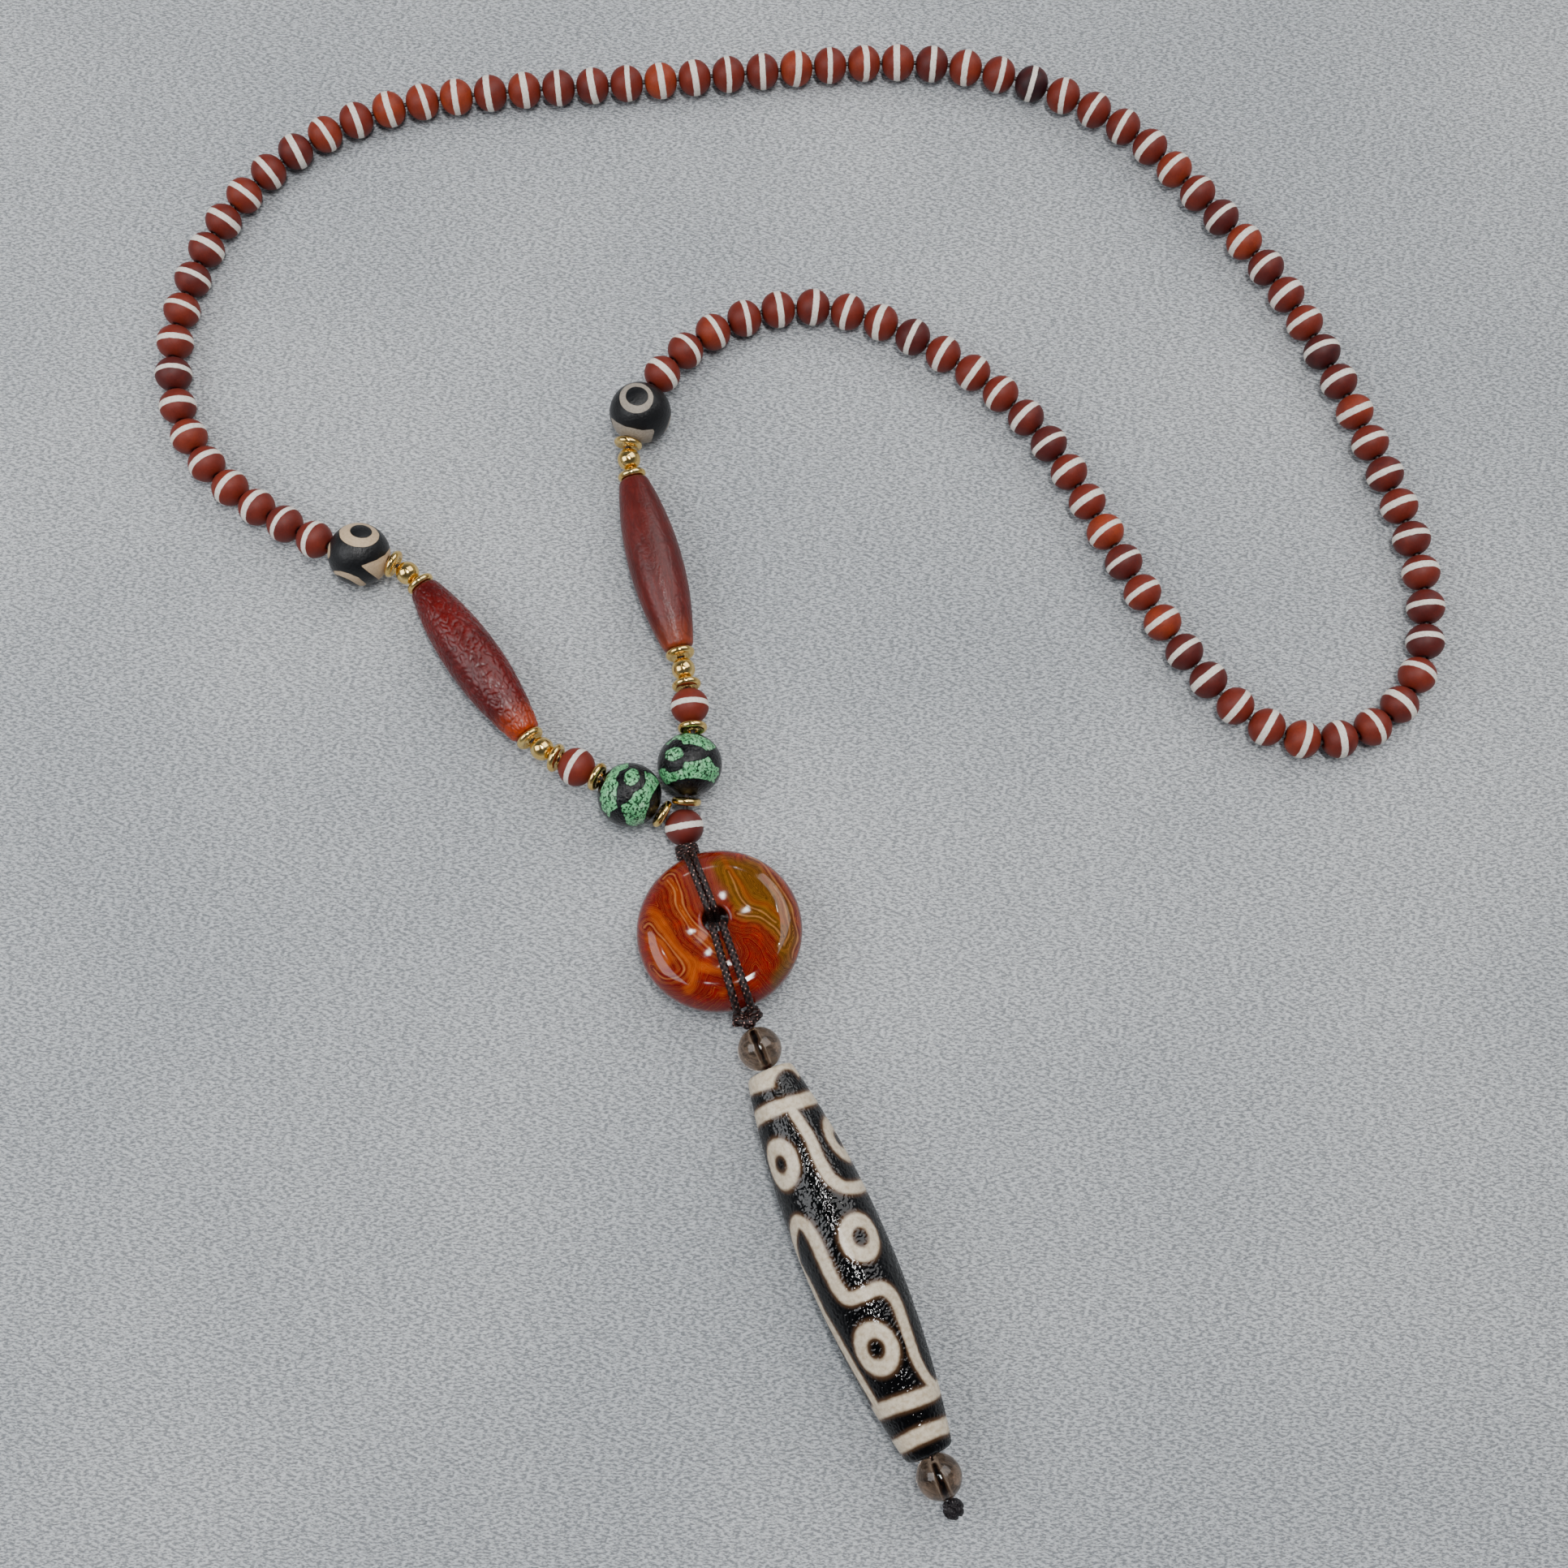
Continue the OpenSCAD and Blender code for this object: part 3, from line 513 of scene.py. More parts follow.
# Large black beads with eyes: matte etched stone, with beige rings and leaves let into black. A
# drawing is in mm to the right and up from the bead's middle, as the lens sees it: a ring eye
# (outer and inner ellipse), and patches of leaves and more rings at the bead's edge.
LARGE_BORE, LARGE_AROUND = 1.6, 140
EYE_RINGS = {"left": [((-0.2, 3.05), 3.05, 1.9), ((0.05, 3.6), 1.7, 1.05)],
             "right": [((-0.7, 2.3), 2.7, 2.4), ((-0.6, 2.6), 1.8, 1.5)]}
EYE_PATCHES = {
    "left": [
        [(0.3, -1.75), (1.0, -1.45), (2.6, -0.7), (4.0, 0.3), (4.9, 1.8), (5.3, 0), (5.0, -2.5),
         (3.5, -3.9), (2.0, -2.9)],
        [(-3.8, -2.9), (-2.7, -2.85), (-1.3, -3.15), (0, -3.6), (1.4, -4.6), (0.7, -5.2), (-0.2, -4.65),
         (-1.3, -4.1), (-2.6, -3.65), (-3.6, -3.4)],
        [(-5.2, 1.3), (-4.6, 1.5), (-4.45, 0.4), (-4.5, -0.6), (-4.7, -1.1), (-5.2, -0.6)],
    ],
    "right": [
        [(-4.7, -0.9), (-3.8, -1.6), (-2.5, -2.2), (-1, -2.5), (0.5, -2.75), (1.5, -2.6), (2.1, -2.5),
         (2.3, -2.85), (1.9, -4.4), (1.5, -5.2), (-2, -5.2), (-4, -4)],
        [(4.9, -0.3), (5.3, -1), (4.6, -2.2), (3.8, -3.6), (3.6, -3.6), (4.4, -2), (4.7, -1)],
    ],
}
EYE_PALE = {"left": (0.56, 0.42, 0.27), "right": (0.36, 0.31, 0.25)}
EYE_TINTED = {"left": (0.44, 0.31, 0.19), "right": (0.23, 0.20, 0.165)}


def spot_distance(x, y, middle, half_x, half_y):
    """Distance in mm outside an ellipse; below 0 in it."""
    return (np.hypot((x - middle[0]) / half_x, (y - middle[1]) / half_y) - 1) * min(half_x, half_y)


def line_distance(x, y, points, wide):
    """Distance in mm outside a line of some width through points; below 0 in it."""
    best = np.full(np.shape(x), 1e3)
    for (ax, ay), (bx, by) in zip(points[:-1], points[1:]):
        t = np.clip(((x - ax) * (bx - ax) + (y - ay) * (by - ay)) / ((bx - ax) ** 2 + (by - ay) ** 2), 0, 1)
        best = np.minimum(best, np.hypot(x - ax - t * (bx - ax), y - ay - t * (by - ay)))
    return best - wide / 2


def patch_distance(x, y, corners):
    """Distance in mm outside a patch with these corners; below 0 in it. A point is inside where a
    line to the right of it crosses the patch's sides an odd number of times."""
    closed = [*corners, corners[0]]
    odd = np.zeros(np.shape(x), bool)
    for (ax, ay), (bx, by) in zip(closed[:-1], closed[1:]):
        if ay != by:
            odd ^= ((ay > y) != (by > y)) & (x < (bx - ax) * (y - ay) / (by - ay) + ax)
    return line_distance(x, y, closed, 0) * np.where(odd, -1, 1)


def seen_from_lens(points, middle):
    """Places in mm to the right, up and towards the lens, as the photograph shows them."""
    towards = unit(lens_at - middle)
    right = unit(np.cross([0, 1, 0], towards))
    seen = (points - middle) / MM @ np.stack([right, np.cross(towards, right), towards]).T
    return seen[..., 0], seen[..., 1]


def patterned_bead(name, i, profile, key, draw, shift):
    """A bead whose pattern runs straight through it, as it is seen from the lens."""
    local = turned(profile, LARGE_AROUND)
    points = placed(local, row_way[i], row_mid[i])
    fields = {"place": local + shift, key: draw(*seen_from_lens(points, row_mid[i]))}
    return mesh_piece(name, points, grid_faces(*local.shape[:2]), fields)


def eyes_of(side):
    """The function that draws one bead's eye and patches."""
    outer, inner = EYE_RINGS[side]

    def draw(x, y):
        ring = np.maximum(spot_distance(x, y, *outer), -spot_distance(x, y, *inner))
        return np.minimum.reduce([ring] + [patch_distance(x, y, patch) for patch in EYE_PATCHES[side]])

    return draw


def eyed_finish(side):
    """Matte black stone, finely pitted, with the pale parts a hair lower."""
    material, tree, shader = new_finish(f"{side}_eyed_stone")
    place = field(tree, "place")
    grain = noise(tree, place, 2.6, 5.0, 0.7)
    pits = put(tree, "TexVoronoi", Vector=place, Scale=2.2).outputs["Distance"]
    black = ramp(tree, grain, (0.3, (0.0015, 0.0015, 0.002)), (0.75, (0.005, 0.0055, 0.0065)))
    cream = ramp(tree, grain, (0.3, EYE_TINTED[side]), (0.62, EYE_PALE[side]))
    mask = line_mask(tree, place, field(tree, "cream"), 0.16, 0.9, 0.05)
    height = scaled(tree, mask, -0.5, scaled(tree, pits, 0.5, grain))
    join(tree, shader, Base_Color=blend(tree, mask, black, cream), Specular_IOR_Level=0.4,
         Roughness=scaled(tree, mask, 0.12, scaled(tree, grain, 0.25, 0.26)),
         Normal=bumped(tree, height, 0.5, 0.00012))
    return material


for side in ("left", "right"):
    piece = patterned_bead(f"{side}_eyed_bead", piece_number(side, "eye"),
                           round_profile(EYE_D, LENGTHS["eye"], LARGE_BORE, 72, 4), "cream", eyes_of(side), 0)
    dress(piece, eyed_finish(side), f"{side}_eye_bead")

# Long barrel beads: red-brown carnelian. The left one keeps a wrinkled skin, as if acid-etched;
# the right one is smoother, with fine dashes cut along it. Their ends let light through, shown as a
# painted orange glow at one end, and their hollows are darkened with painted shade.
BARREL_END_D, BARREL_EDGE, BARREL_CORE, FLAT_SKIN = 4.6, 0.7, 1.4, 0.7
BARREL_ALONG, BARREL_AROUND = 220, 180
WRINKLES = {"left": {"stretch": 0.55, "fineness": 5.2, "seed": 3, "deep": 0.10},
            "right": {"stretch": 0.3, "fineness": 6.0, "seed": 5, "deep": 0.03}}


def arc_profile(d, end_d, length, edge, bore, outside=90, corner=6, inside=4):
    """A long bead's closed section in mm: one arc for the side, a small arc for each end's edge,
    the flat end, and back along the bore."""
    half, swell = length / 2, (d - end_d) / 2
    arc_r = (half**2 + swell**2) / (2 * swell)
    arc_x = d / 2 - arc_r
    edge_y = half - edge
    edge_x = arc_x + math.sqrt((arc_r - edge) ** 2 - edge_y**2)
    meet_y = edge_y * arc_r / (arc_r - edge)
    y = np.linspace(-meet_y, meet_y, outside)
    side = np.column_stack([arc_x + np.sqrt(arc_r**2 - y**2), y])
    lift = math.atan2(edge_y, edge_x - arc_x)
    turn = np.linspace(lift, math.pi / 2, corner)[1:]
    top = np.column_stack([edge_x + edge * np.cos(turn), edge_y + edge * np.sin(turn)])
    flat = np.column_stack([np.linspace(edge_x, bore / 2, 5)[1:], np.full(4, half)])
    back = np.column_stack([np.full(inside, bore / 2), np.linspace(half, -half, inside + 2)[1:-1]])
    low = np.vstack([top, flat])[::-1] * [1, -1]
    return np.vstack([side, top, flat, back, low])


def ripples(points, fineness, seed, layers=48):
    """A rough value near -1 to 1 for each point: many sine waves in random directions, 0.6 to 1.6
    times as fine as asked and of random phase, each bent by a slower one."""
    dice = np.random.default_rng(seed)
    bent = points + 0.9 * np.sin(points[..., [1, 2, 0]] * fineness * 0.31 + 1.3) / fineness
    ways = unit(dice.normal(size=(layers, 3))) * fineness * dice.uniform(0.6, 1.6, (layers, 1))
    phase = dice.uniform(0, 2 * math.pi, layers)
    total = np.zeros(points.shape[:-1])
    for way, start in zip(ways, phase):
        total += np.sin(bent @ way + start)
    return total / math.sqrt(layers)


def carved(local, rough, deep, core):
    """A turned bead's points with its skin pushed in where rough crosses 0, by up to deep mm, and
    the depths. It fades out towards the core's radius, and never stands out past the profile."""
    depth = (1 - np.minimum(np.abs(rough), FLAT_SKIN) / FLAT_SKIN) * deep
    out = np.hypot(local[..., 0], local[..., 2])
    shrink = 1 - depth * np.clip((out - core) / 0.6, 0, 1) / np.maximum(out, 0.5)
    return local * np.stack([shrink, np.ones_like(shrink), shrink], -1), depth


def barrel_bead(side):
    """A long bead: deep wrinkles on the left one, fine dashes on the right one."""
    i, skin = piece_number(side, "barrel"), WRINKLES[side]
    profile = arc_profile(BARREL_D, BARREL_END_D, LENGTHS["barrel"], BARREL_EDGE, LARGE_BORE, BARREL_ALONG)
    local = turned(profile, BARREL_AROUND)
    rough = ripples(local * [1, skin["stretch"], 1], skin["fineness"], skin["seed"])
    points, depth = carved(local, rough, skin["deep"], BARREL_CORE)
    return mesh_piece(f"{side}_long_bead", placed(points, row_way[i], row_mid[i]),
                      grid_faces(*local.shape[:2]), {"place": local, "wrinkle": depth / depth.max()})


def carnelian_finish(name, deep, warm, painted_glow, rough, lit):
    """Red-brown stone, with painted shade that darkens its hollows, and a painted orange glow towards
    the end that light comes through, which is the one at the start of the bead's hole where lit is -1."""
    material, tree, shader = new_finish(name)
    place = field(tree, "place")
    grain = noise(tree, place, 2.4, 5.0)
    stone = ramp(tree, noise(tree, place, 0.16, 4.0, 0.6), (0.3, deep), (0.7, warm))
    along = put(tree, "SeparateXYZ", Vector=place).outputs["Y"]
    # Painted glow: orange towards the lit end, for light coming through the stone.
    end = remap(tree, scaled(tree, along, lit), 9.0, 15.0, 0.0, 0.9, "SMOOTHSTEP")
    stone = blend(tree, end, stone, painted_glow)
    # Painted shade: the carved hollows are darkened towards a deeper red.
    hollow_shade = scaled(tree, field(tree, "wrinkle"), 0.4)
    join(tree, shader, Base_Color=blend(tree, hollow_shade, stone, [v * 0.35 for v in deep]),
         Roughness=scaled(tree, grain, 0.25, rough), Specular_IOR_Level=0.38, Subsurface_Weight=0.08,
         Subsurface_Radius=(1.0, 0.2, 0.08), Subsurface_Scale=0.002, Normal=bumped(tree, grain, 0.5, 0.00012))
    return material


# Colours deep in the stone (also the base of the painted shade in hollows), near its skin and of
# the painted glow at its lit end; roughness; and the lit end's side.
CARNELIAN = {
    "left": ((0.075, 0.002, 0.002), (0.13, 0.004, 0.003), (0.40, 0.045, 0.004), 0.16, -1.0),
    "right": ((0.075, 0.006, 0.005), (0.12, 0.011, 0.008), (0.25, 0.040, 0.012), 0.24, 1.0),
}
for side in ("left", "right"):
    dress(barrel_bead(side), carnelian_finish(f"{side}_carnelian", *CARNELIAN[side]),
          f"{side}_barrel_bead")

# Green and black beads: polished stone in clouds of mint and emerald, crossed by black bands.
# Each shows a slanted eye (middle, half sizes, slant across and up), a crescent and a patch.
GREEN_EYES = {"left": ((0.28, 2.7), 1.1, 1.3, 0.15, 0.0), "right": ((-2.4, 1.5), 1.4, 1.0, 0.0, 0.2)}
GREEN_PATCHES = {
    "left": [
        [(-0.2, 4.95), (-0.3, 4.3), (-1.6, 3.5), (-2.1, 2.5), (-1.8, 1.65), (-2.0, 0.4), (-1.95, -1.2),
         (-1.75, -1.95), (-2.8, -2.65), (-3.0, -3.4), (-4.0, -2.4), (-4.5, -0.9), (-4.3, 0.8),
         (-3.5, 2.8), (-2.3, 4.3)],
        [(2.2, 3.6), (3.4, 3.2), (4.7, 2.1), (4.2, 1.5), (3.3, 0), (2.9, -1.8), (2.4, -3.4), (2.2, -4.4),
         (0.7, -4.8), (-0.4, -4.5), (-0.7, -3.3), (-1.1, -2.2), (-1.15, -1.6), (-0.6, -1.3), (0.2, -0.6),
         (0.6, 0.25), (1.0, 0.6), (2.0, 1.1), (2.5, 2.1), (2.3, 2.8)],
    ],
    "right": [
        [(-3.6, 2.8), (-2.6, 3.7), (-1.3, 3.7), (-1.0, 3.05), (0.4, 3.05), (1.8, 2.8), (2.5, 2.1),
         (3.4, 2.3), (4.0, 2.7), (2.7, 3.9), (1.1, 4.6), (-0.7, 4.75), (-2.2, 4.3), (-3.7, 3.0)],
        [(-4.9, -1.0), (-4.1, -0.65), (-3.7, -0.7), (-3.6, -1.1), (-3.0, -1.35), (-1.4, -0.85),
         (-0.9, -0.6), (-0.9, 0), (-0.7, 0.4), (0.7, 0.4), (2.0, 0.85), (2.8, 1.2), (3.4, 0.6),
         (3.7, -0.15), (4.5, -0.6), (4.4, -1.7), (3.7, -2.8), (2.5, -2.3), (0.7, -2.1), (-1.3, -2.3),
         (-2.7, -2.7), (-3.6, -3.2), (-4.4, -2.3)],
    ],
}


def greens_of(side):
    """The function that draws one bead's eye and patches."""
    (mid_x, mid_y), half_x, half_y, across, up = GREEN_EYES[side]

    def draw(x, y):
        eye = spot_distance(x - across * (y - mid_y), y - up * (x - mid_x), (mid_x, mid_y), half_x, half_y)
        return np.minimum.reduce([eye] + [patch_distance(x, y, patch) for patch in GREEN_PATCHES[side]])

    return draw


def green_finish():
    """Green stone with a dense net of dark specks, let into black stone that is finely wrinkled
    and glossy, so that it glitters."""
    material, tree, shader = new_finish("green_stone")
    place = field(tree, "place")
    speck, wrinkle = noise(tree, place, 2.3, 3.0, 0.75), noise(tree, place, 2.2, 2.0, 0.55, 0.8)
    crackle = put(tree, "TexVoronoi", {"feature": "DISTANCE_TO_EDGE"}, Vector=place, Scale=3.6)
    green = ramp(tree, noise(tree, place, 0.5, 4.0, 0.6), (0.28, (0.10, 0.46, 0.16)),
                 (0.5, (0.20, 0.64, 0.29)), (0.72, (0.42, 0.80, 0.47)))
    dots = ramp(tree, speck, (0.44, (0.01, 0.04, 0.02)), (0.52, (1, 1, 1)))
    net = ramp(tree, crackle.outputs["Distance"], (0.02, (0.45, 0.5, 0.45)), (0.12, (1, 1, 1)))
    green = blend(tree, 0.8, blend(tree, 1.0, green, dots, "MULTIPLY"), net, "MULTIPLY")
    mask = line_mask(tree, place, field(tree, "green"), 0.42, 1.2, 0.07)
    black = ramp(tree, wrinkle, (0.3, (0.0006, 0.0006, 0.0008)), (0.7, (0.002, 0.0025, 0.003)))
    height = scaled(tree, mask, 0.2, scaled(tree, scaled(tree, mask, -0.75, 1.0), wrinkle))
    join(tree, shader, Base_Color=blend(tree, mask, black, green), Specular_IOR_Level=0.35,
         Roughness=scaled(tree, mask, 0.2, scaled(tree, wrinkle, 0.15, 0.06)),
         Normal=bumped(tree, height, 1.0, 0.0002))
    return material


green_stone = green_finish()
for side, shift in (("left", 0), ("right", 31)):
    piece = patterned_bead(f"{side}_green_stone", piece_number(side, "green"),
                           round_profile(GREEN_D, LENGTHS["green"], LARGE_BORE, 72, 4), "green",
                           greens_of(side), shift)
    dress(piece, green_stone, f"{side}_green_bead")

# The guru bead: one more striped bead, drilled three ways, which gathers both ends of the thread.
# It is the CAD's own shape, so its band is measured from the bead's middle.
GURU_BAND_OFF, GURU_BAND_TILT, GURU_TURN = -0.1, 0.17, 10


def guru_finish():
    """Frosted maroon stone with a chalky white band round its middle."""
    material, tree, shader = new_finish("guru_stone")
    at = put(tree, "TexCoord").outputs["Object"]
    place = put(tree, "Mapping", {"vector_type": "TEXTURE"}, Vector=at, Location=tuple(guru_mid),
                Rotation=(0, 0, math.radians(GURU_TURN)), Scale=(MM, MM, MM)).outputs[0]
    grain = noise(tree, place, 3.2, 5.0, 0.7)
    cloud = noise(tree, place, 0.28, 3.0)
    stone = ramp(tree, cloud, (0.3, (0.13, 0.013, 0.008)), (0.7, (0.08, 0.009, 0.007)))
    split = put(tree, "SeparateXYZ", Vector=place).outputs
    high = sums(tree, "ADD", split["Y"], scaled(tree, split["Z"], GURU_BAND_TILT, GURU_BAND_OFF))
    high = sums(tree, "SUBTRACT", sums(tree, "ABSOLUTE", high), BAND_HALF)
    chalk = ramp(tree, grain, (0.3, (0.66, 0.58, 0.50)), (0.6, (0.82, 0.77, 0.70)))
    colour = blend(tree, line_mask(tree, place, high, 0.3, 1.4, 0.07), stone, chalk)
    join(tree, shader, Base_Color=colour, Roughness=0.5, Normal=bumped(tree, grain, 0.25, 0.00008))
    return material


refinish("guru_bead", guru_finish())

# The donut: a thick disc of banded agate, polished all over, with a small hole above its middle.
DONUT_D, DONUT_T, DONUT_DISH, HOLE_D, HOLE_SHIFT = 25.0, 7.4, 0.9, 4.0, 1.2
RIM_R = DONUT_T / 2
RIM_AT = DONUT_D / 2 - RIM_R
donut_mid = mid_of("donut")


def spun(axis, degrees):
    """The matrix that turns row vectors about X or Z."""
    c, s = math.cos(math.radians(degrees)), math.sin(math.radians(degrees))
    return np.array({"x": [[1, 0, 0], [0, c, s], [0, -s, c]], "z": [[c, s, 0], [-s, c, 0], [0, 0, 1]]}[axis])


DONUT_TURN = spun("x", -6) @ spun("z", 22)


def in_donut(points):
    """Points in mm in the donut's own frame, moved to the row frame."""
    return np.asarray(points, float) @ DONUT_TURN * MM + donut_mid


def donut_body():
    """The section's outline (face, round rim, face, hole wall) swept round the shifted hole: each
    ray from the hole's middle meets the rim's circle at its own distance. The face between them
    dips by dish (sqrt(u^2 + e^2) - e) at a share u inwards of the rim, and is eased at the hole."""
    around, across, bend, easing, lip_deep, lip_wide = 300, 60, 60, 0.5, 0.3, 0.16
    a = np.arange(around) * 2 * math.pi / around
    ray = np.stack([np.cos(a), np.sin(a)], -1)
    start = np.array([0, HOLE_SHIFT])
    along = ray @ start
    reach = -along + np.sqrt(along**2 - start @ start + RIM_AT**2)
    hole = start + ray * HOLE_D / 2
    rim = start + ray * reach[:, None]
    top = hole + (rim - hole) * np.linspace(0, 1, across)[:, None, None] ** 1.1
    lip = lip_deep * np.exp(-np.linalg.norm(top - hole, axis=-1) / lip_wide)
    share = (RIM_AT - np.linalg.norm(top, axis=-1)) / RIM_AT
    dip = (np.sqrt(share**2 + easing**2) - easing) / (math.sqrt(1 + easing**2) - easing)
    upper = np.concatenate([top, (RIM_R - DONUT_DISH * dip - lip)[..., None]], -1)
    turn = np.linspace(math.pi / 2, -math.pi / 2, bend)[1:-1][:, None, None]
    low = RIM_R * np.sin(turn) * np.ones((1, around, 1))
    round_rim = np.concatenate([rim + unit(rim) * RIM_R * np.cos(turn), low], -1)
    fall = np.linspace(-1, 1, 6)[1:-1][:, None, None]
    wall = upper[0] * [1, 1, 0] + np.array([0, 0, 1]) * fall * upper[0][:, 2:]
    return np.concatenate([upper, round_rim, upper[::-1] * [1, 1, -1], wall], 0)


# The stone's layers, in mm to the right and up from the donut's middle as the lens sees them:
# pale seams, broad orange strokes, brown strokes, the olive part and the hazy part.
SEEN_FLAT, SEAM_WIDE, SEAM_WANDER = 0.957, 0.16, 0.16
SEAMS = [
    [(-7.9, 7.6), (-7.0, 6.4), (-6.5, 4.5), (-5.9, 2.8), (-5.0, 1.1), (-4.0, -0.4), (-2.5, -1.9),
     (-0.9, -3.0), (0.6, -3.8)],
    [(-8.6, 7.9), (-7.7, 8.6), (-6.8, 8.6), (-6.3, 7.6), (-5.9, 6.0), (-5.4, 4.1), (-4.5, 2.4),
     (-3.1, 0.6), (-1.6, -0.9), (0, -2.3)],
    [(-11.1, 0.4), (-10.4, 1.1), (-9.8, 0.8), (-9.0, -0.4), (-7.9, -1.9), (-6.7, -3.4), (-5.6, -4.9),
     (-5.0, -6.2), (-5.6, -7.1), (-6.8, -7.5), (-8.3, -7.3), (-9.7, -6.0)],
    [(1.3, 9.4), (1.8, 7.9), (2.5, 6.2), (3.6, 4.7), (5.0, 3.6), (6.8, 2.6), (8.3, 1.5)],
    [(2.5, 2.8), (4.1, 2.3), (6.1, 1.9), (7.9, 0.8), (9.0, -0.8)],
    [(4.1, 11.8), (6.7, 10.2), (8.6, 7.5), (10.3, 4.5), (11.3, 1.5), (11.5, -1.3), (10.8, -4.1)],
    [(8.1, 6.8), (9.2, 4.9), (10.1, 2.6), (10.3, 0), (9.7, -2.3)],
]
EMBERS = [
    ([(-10.4, -1.2), (-9.6, -1.6), (-8.7, -2.6), (-7.9, -3.9), (-7.7, -4.9), (-8.3, -5.2),
     (-9.2, -4.2), (-9.9, -2.8)], 1.5),
    ([(-10.4, 2.9), (-9.4, 2.3), (-8.3, 0.6), (-7.2, -1.4), (-5.9, -3.2), (-4.6, -4.9),
     (-3.8, -6.4), (-3.9, -8.0), (-4.6, -9)], 1.4),
    ([(-3.8, -5.0), (-2.2, -5.6), (0.2, -6.3)], 1.2),
    ([(-7.7, 7.6), (-6.8, 6.6), (-6.1, 4.4), (-5.2, 2.3), (-3.7, 0.3), (-2.0, -1.6), (0.4, -3.2)], 0.9),
    ([(0.4, -9.6), (1.6, -8.7), (2.6, -7.4)], 0.6),
]
TAWNY = [
    ([(0.5, 11.3), (1.3, 10.2), (2.1, 8.6), (2.9, 7.1), (4.1, 5.6), (5.7, 4.4), (7.3, 3.8),
     (8.7, 2.9), (9.5, 1.4)], 0.7),
    ([(6.6, 8.8), (8.2, 6.2), (9.5, 3.6), (10.1, 1)], 0.4),
]
OLIVE = [(-1.5, 10.5), (0.3, 11.6), (5, 11.3), (8.5, 8), (10.8, 3.5), (11.6, -1), (10.8, -5.5),
         (8.4, -9), (7.4, -8.4), (8.9, -4.5), (8.4, -1.0), (6.5, 0.9), (3.5, 1.6), (2.2, 3.2),
         (1.0, 6.5), (-0.6, 8)]
HAZE = [(-5.6, 9.8), (-2, 10.9), (0.3, 9.5), (0.9, 6.5), (0.6, 4.2), (-1.6, 3.2), (-3.4, 3.6),
        (-4.6, 5.8)]


def strokes_distance(x, y, strokes):
    """The least distance in mm to lines (points, width) drawn with smooth bends."""
    return np.minimum.reduce([line_distance(x, y, smooth_route(points, 5), wide) for points, wide in strokes])


body = donut_body()
x, y = seen_from_lens(in_donut(body), donut_mid)
y = y / SEEN_FLAT
x, y = x + SEAM_WANDER * np.sin(1.3 * y + 0.5 * x), y + SEAM_WANDER * np.sin(1.1 * x - 0.7 * y)
fields = {"place": body, "olive": patch_distance(x, y, OLIVE), "haze": patch_distance(x, y, HAZE)}
for key, strokes in (("seam", [(line, SEAM_WIDE) for line in SEAMS]), ("ember", EMBERS), ("tawny", TAWNY)):
    fields[key] = strokes_distance(x, y, strokes)
donut = mesh_piece("agate_donut", in_donut(body), grid_faces(*body.shape[:2])[:, ::-1], fields)


def donut_finish():
    """Banded agate. Regions of red, orange and olive meet at thin pale seams, and fine lines
    follow the seams; the polish is high, and the skin is clear enough to look hazy at the rim."""
    material, tree, shader = new_finish("banded_stone")
    place, seam = field(tree, "place"), field(tree, "seam")
    wander = noise(tree, place, 0.35, 5.0, 0.6)

    def part(name, ragged, soft, share):
        return scaled(tree, line_mask(tree, place, field(tree, name), ragged, 0.5, soft), share)

    stone = ramp(tree, wander, (0.3, (0.20, 0.006, 0.004)), (0.5, (0.13, 0.004, 0.004)),
                 (0.7, (0.25, 0.009, 0.004)))
    haze = ramp(tree, wander, (0.3, (0.24, 0.05, 0.035)), (0.7, (0.18, 0.03, 0.02)))
    olive = ramp(tree, wander, (0.3, (0.15, 0.065, 0.007)), (0.52, (0.10, 0.038, 0.005)),
                 (0.72, (0.19, 0.09, 0.014)))
    ember = ramp(tree, wander, (0.3, (0.36, 0.055, 0.004)), (0.7, (0.46, 0.10, 0.008)))
    stone = blend(tree, part("haze", 1.5, 1.4, 0.75), stone, haze)
    stone = blend(tree, part("olive", 1.0, 0.7, 1.0), stone, olive)
    stone = blend(tree, part("ember", 0.9, 0.5, 0.55), stone, ember)
    stone = blend(tree, part("tawny", 0.5, 0.35, 0.8), stone, (0.22, 0.045, 0.004))
    layers = scaled(tree, scaled(tree, wander, 1.4, seam), 2.6)
    fine = put(tree, "TexNoise", {"noise_dimensions": "1D"}, W=layers, Detail=3.0, Roughness=0.65)
    fine = fine.outputs["Fac"]
    pale = ramp(tree, fine, (0.56, (0, 0, 0)), (0.66, (1, 1, 1)))
    stone = blend(tree, scaled(tree, pale, 0.34), stone, (0.50, 0.18, 0.03))
    dark = ramp(tree, fine, (0.34, (0.6, 0.5, 0.5)), (0.46, (1, 1, 1)))
    stone = blend(tree, 1.0, stone, dark, "MULTIPLY")
    ring = sums(tree, "SINE", scaled(tree, scaled(tree, wander, 1.2, seam), 6.5))
    near = scaled(tree, remap(tree, seam, 0.2, 2.1, 0.24, 0.0), remap(tree, fine, 0.35, 0.6, 0.35, 1.3))
    for low, high, low_out, high_out, colour in ((0.1, 0.9, 0.0, 1.0, (0.52, 0.17, 0.03)),
                                                 (-0.9, -0.2, 1.0, 0.0, (0.07, 0.006, 0.003))):
        share = scaled(tree, remap(tree, ring, low, high, low_out, high_out), near)
        stone = blend(tree, share, stone, colour)
    pale_seam = scaled(tree, line_mask(tree, place, seam, 0.18, 0.8, 0.16), 0.6)
    grain = noise(tree, place, 4.0, 3.0)
    join(tree, shader, Base_Color=blend(tree, pale_seam, stone, (0.55, 0.24, 0.07)), Specular_IOR_Level=0.4,
         Roughness=scaled(tree, grain, 0.04, 0.03), Normal=bumped(tree, grain, 0.03, 0.0001))
    return material


dress(donut, donut_finish(), "donut")

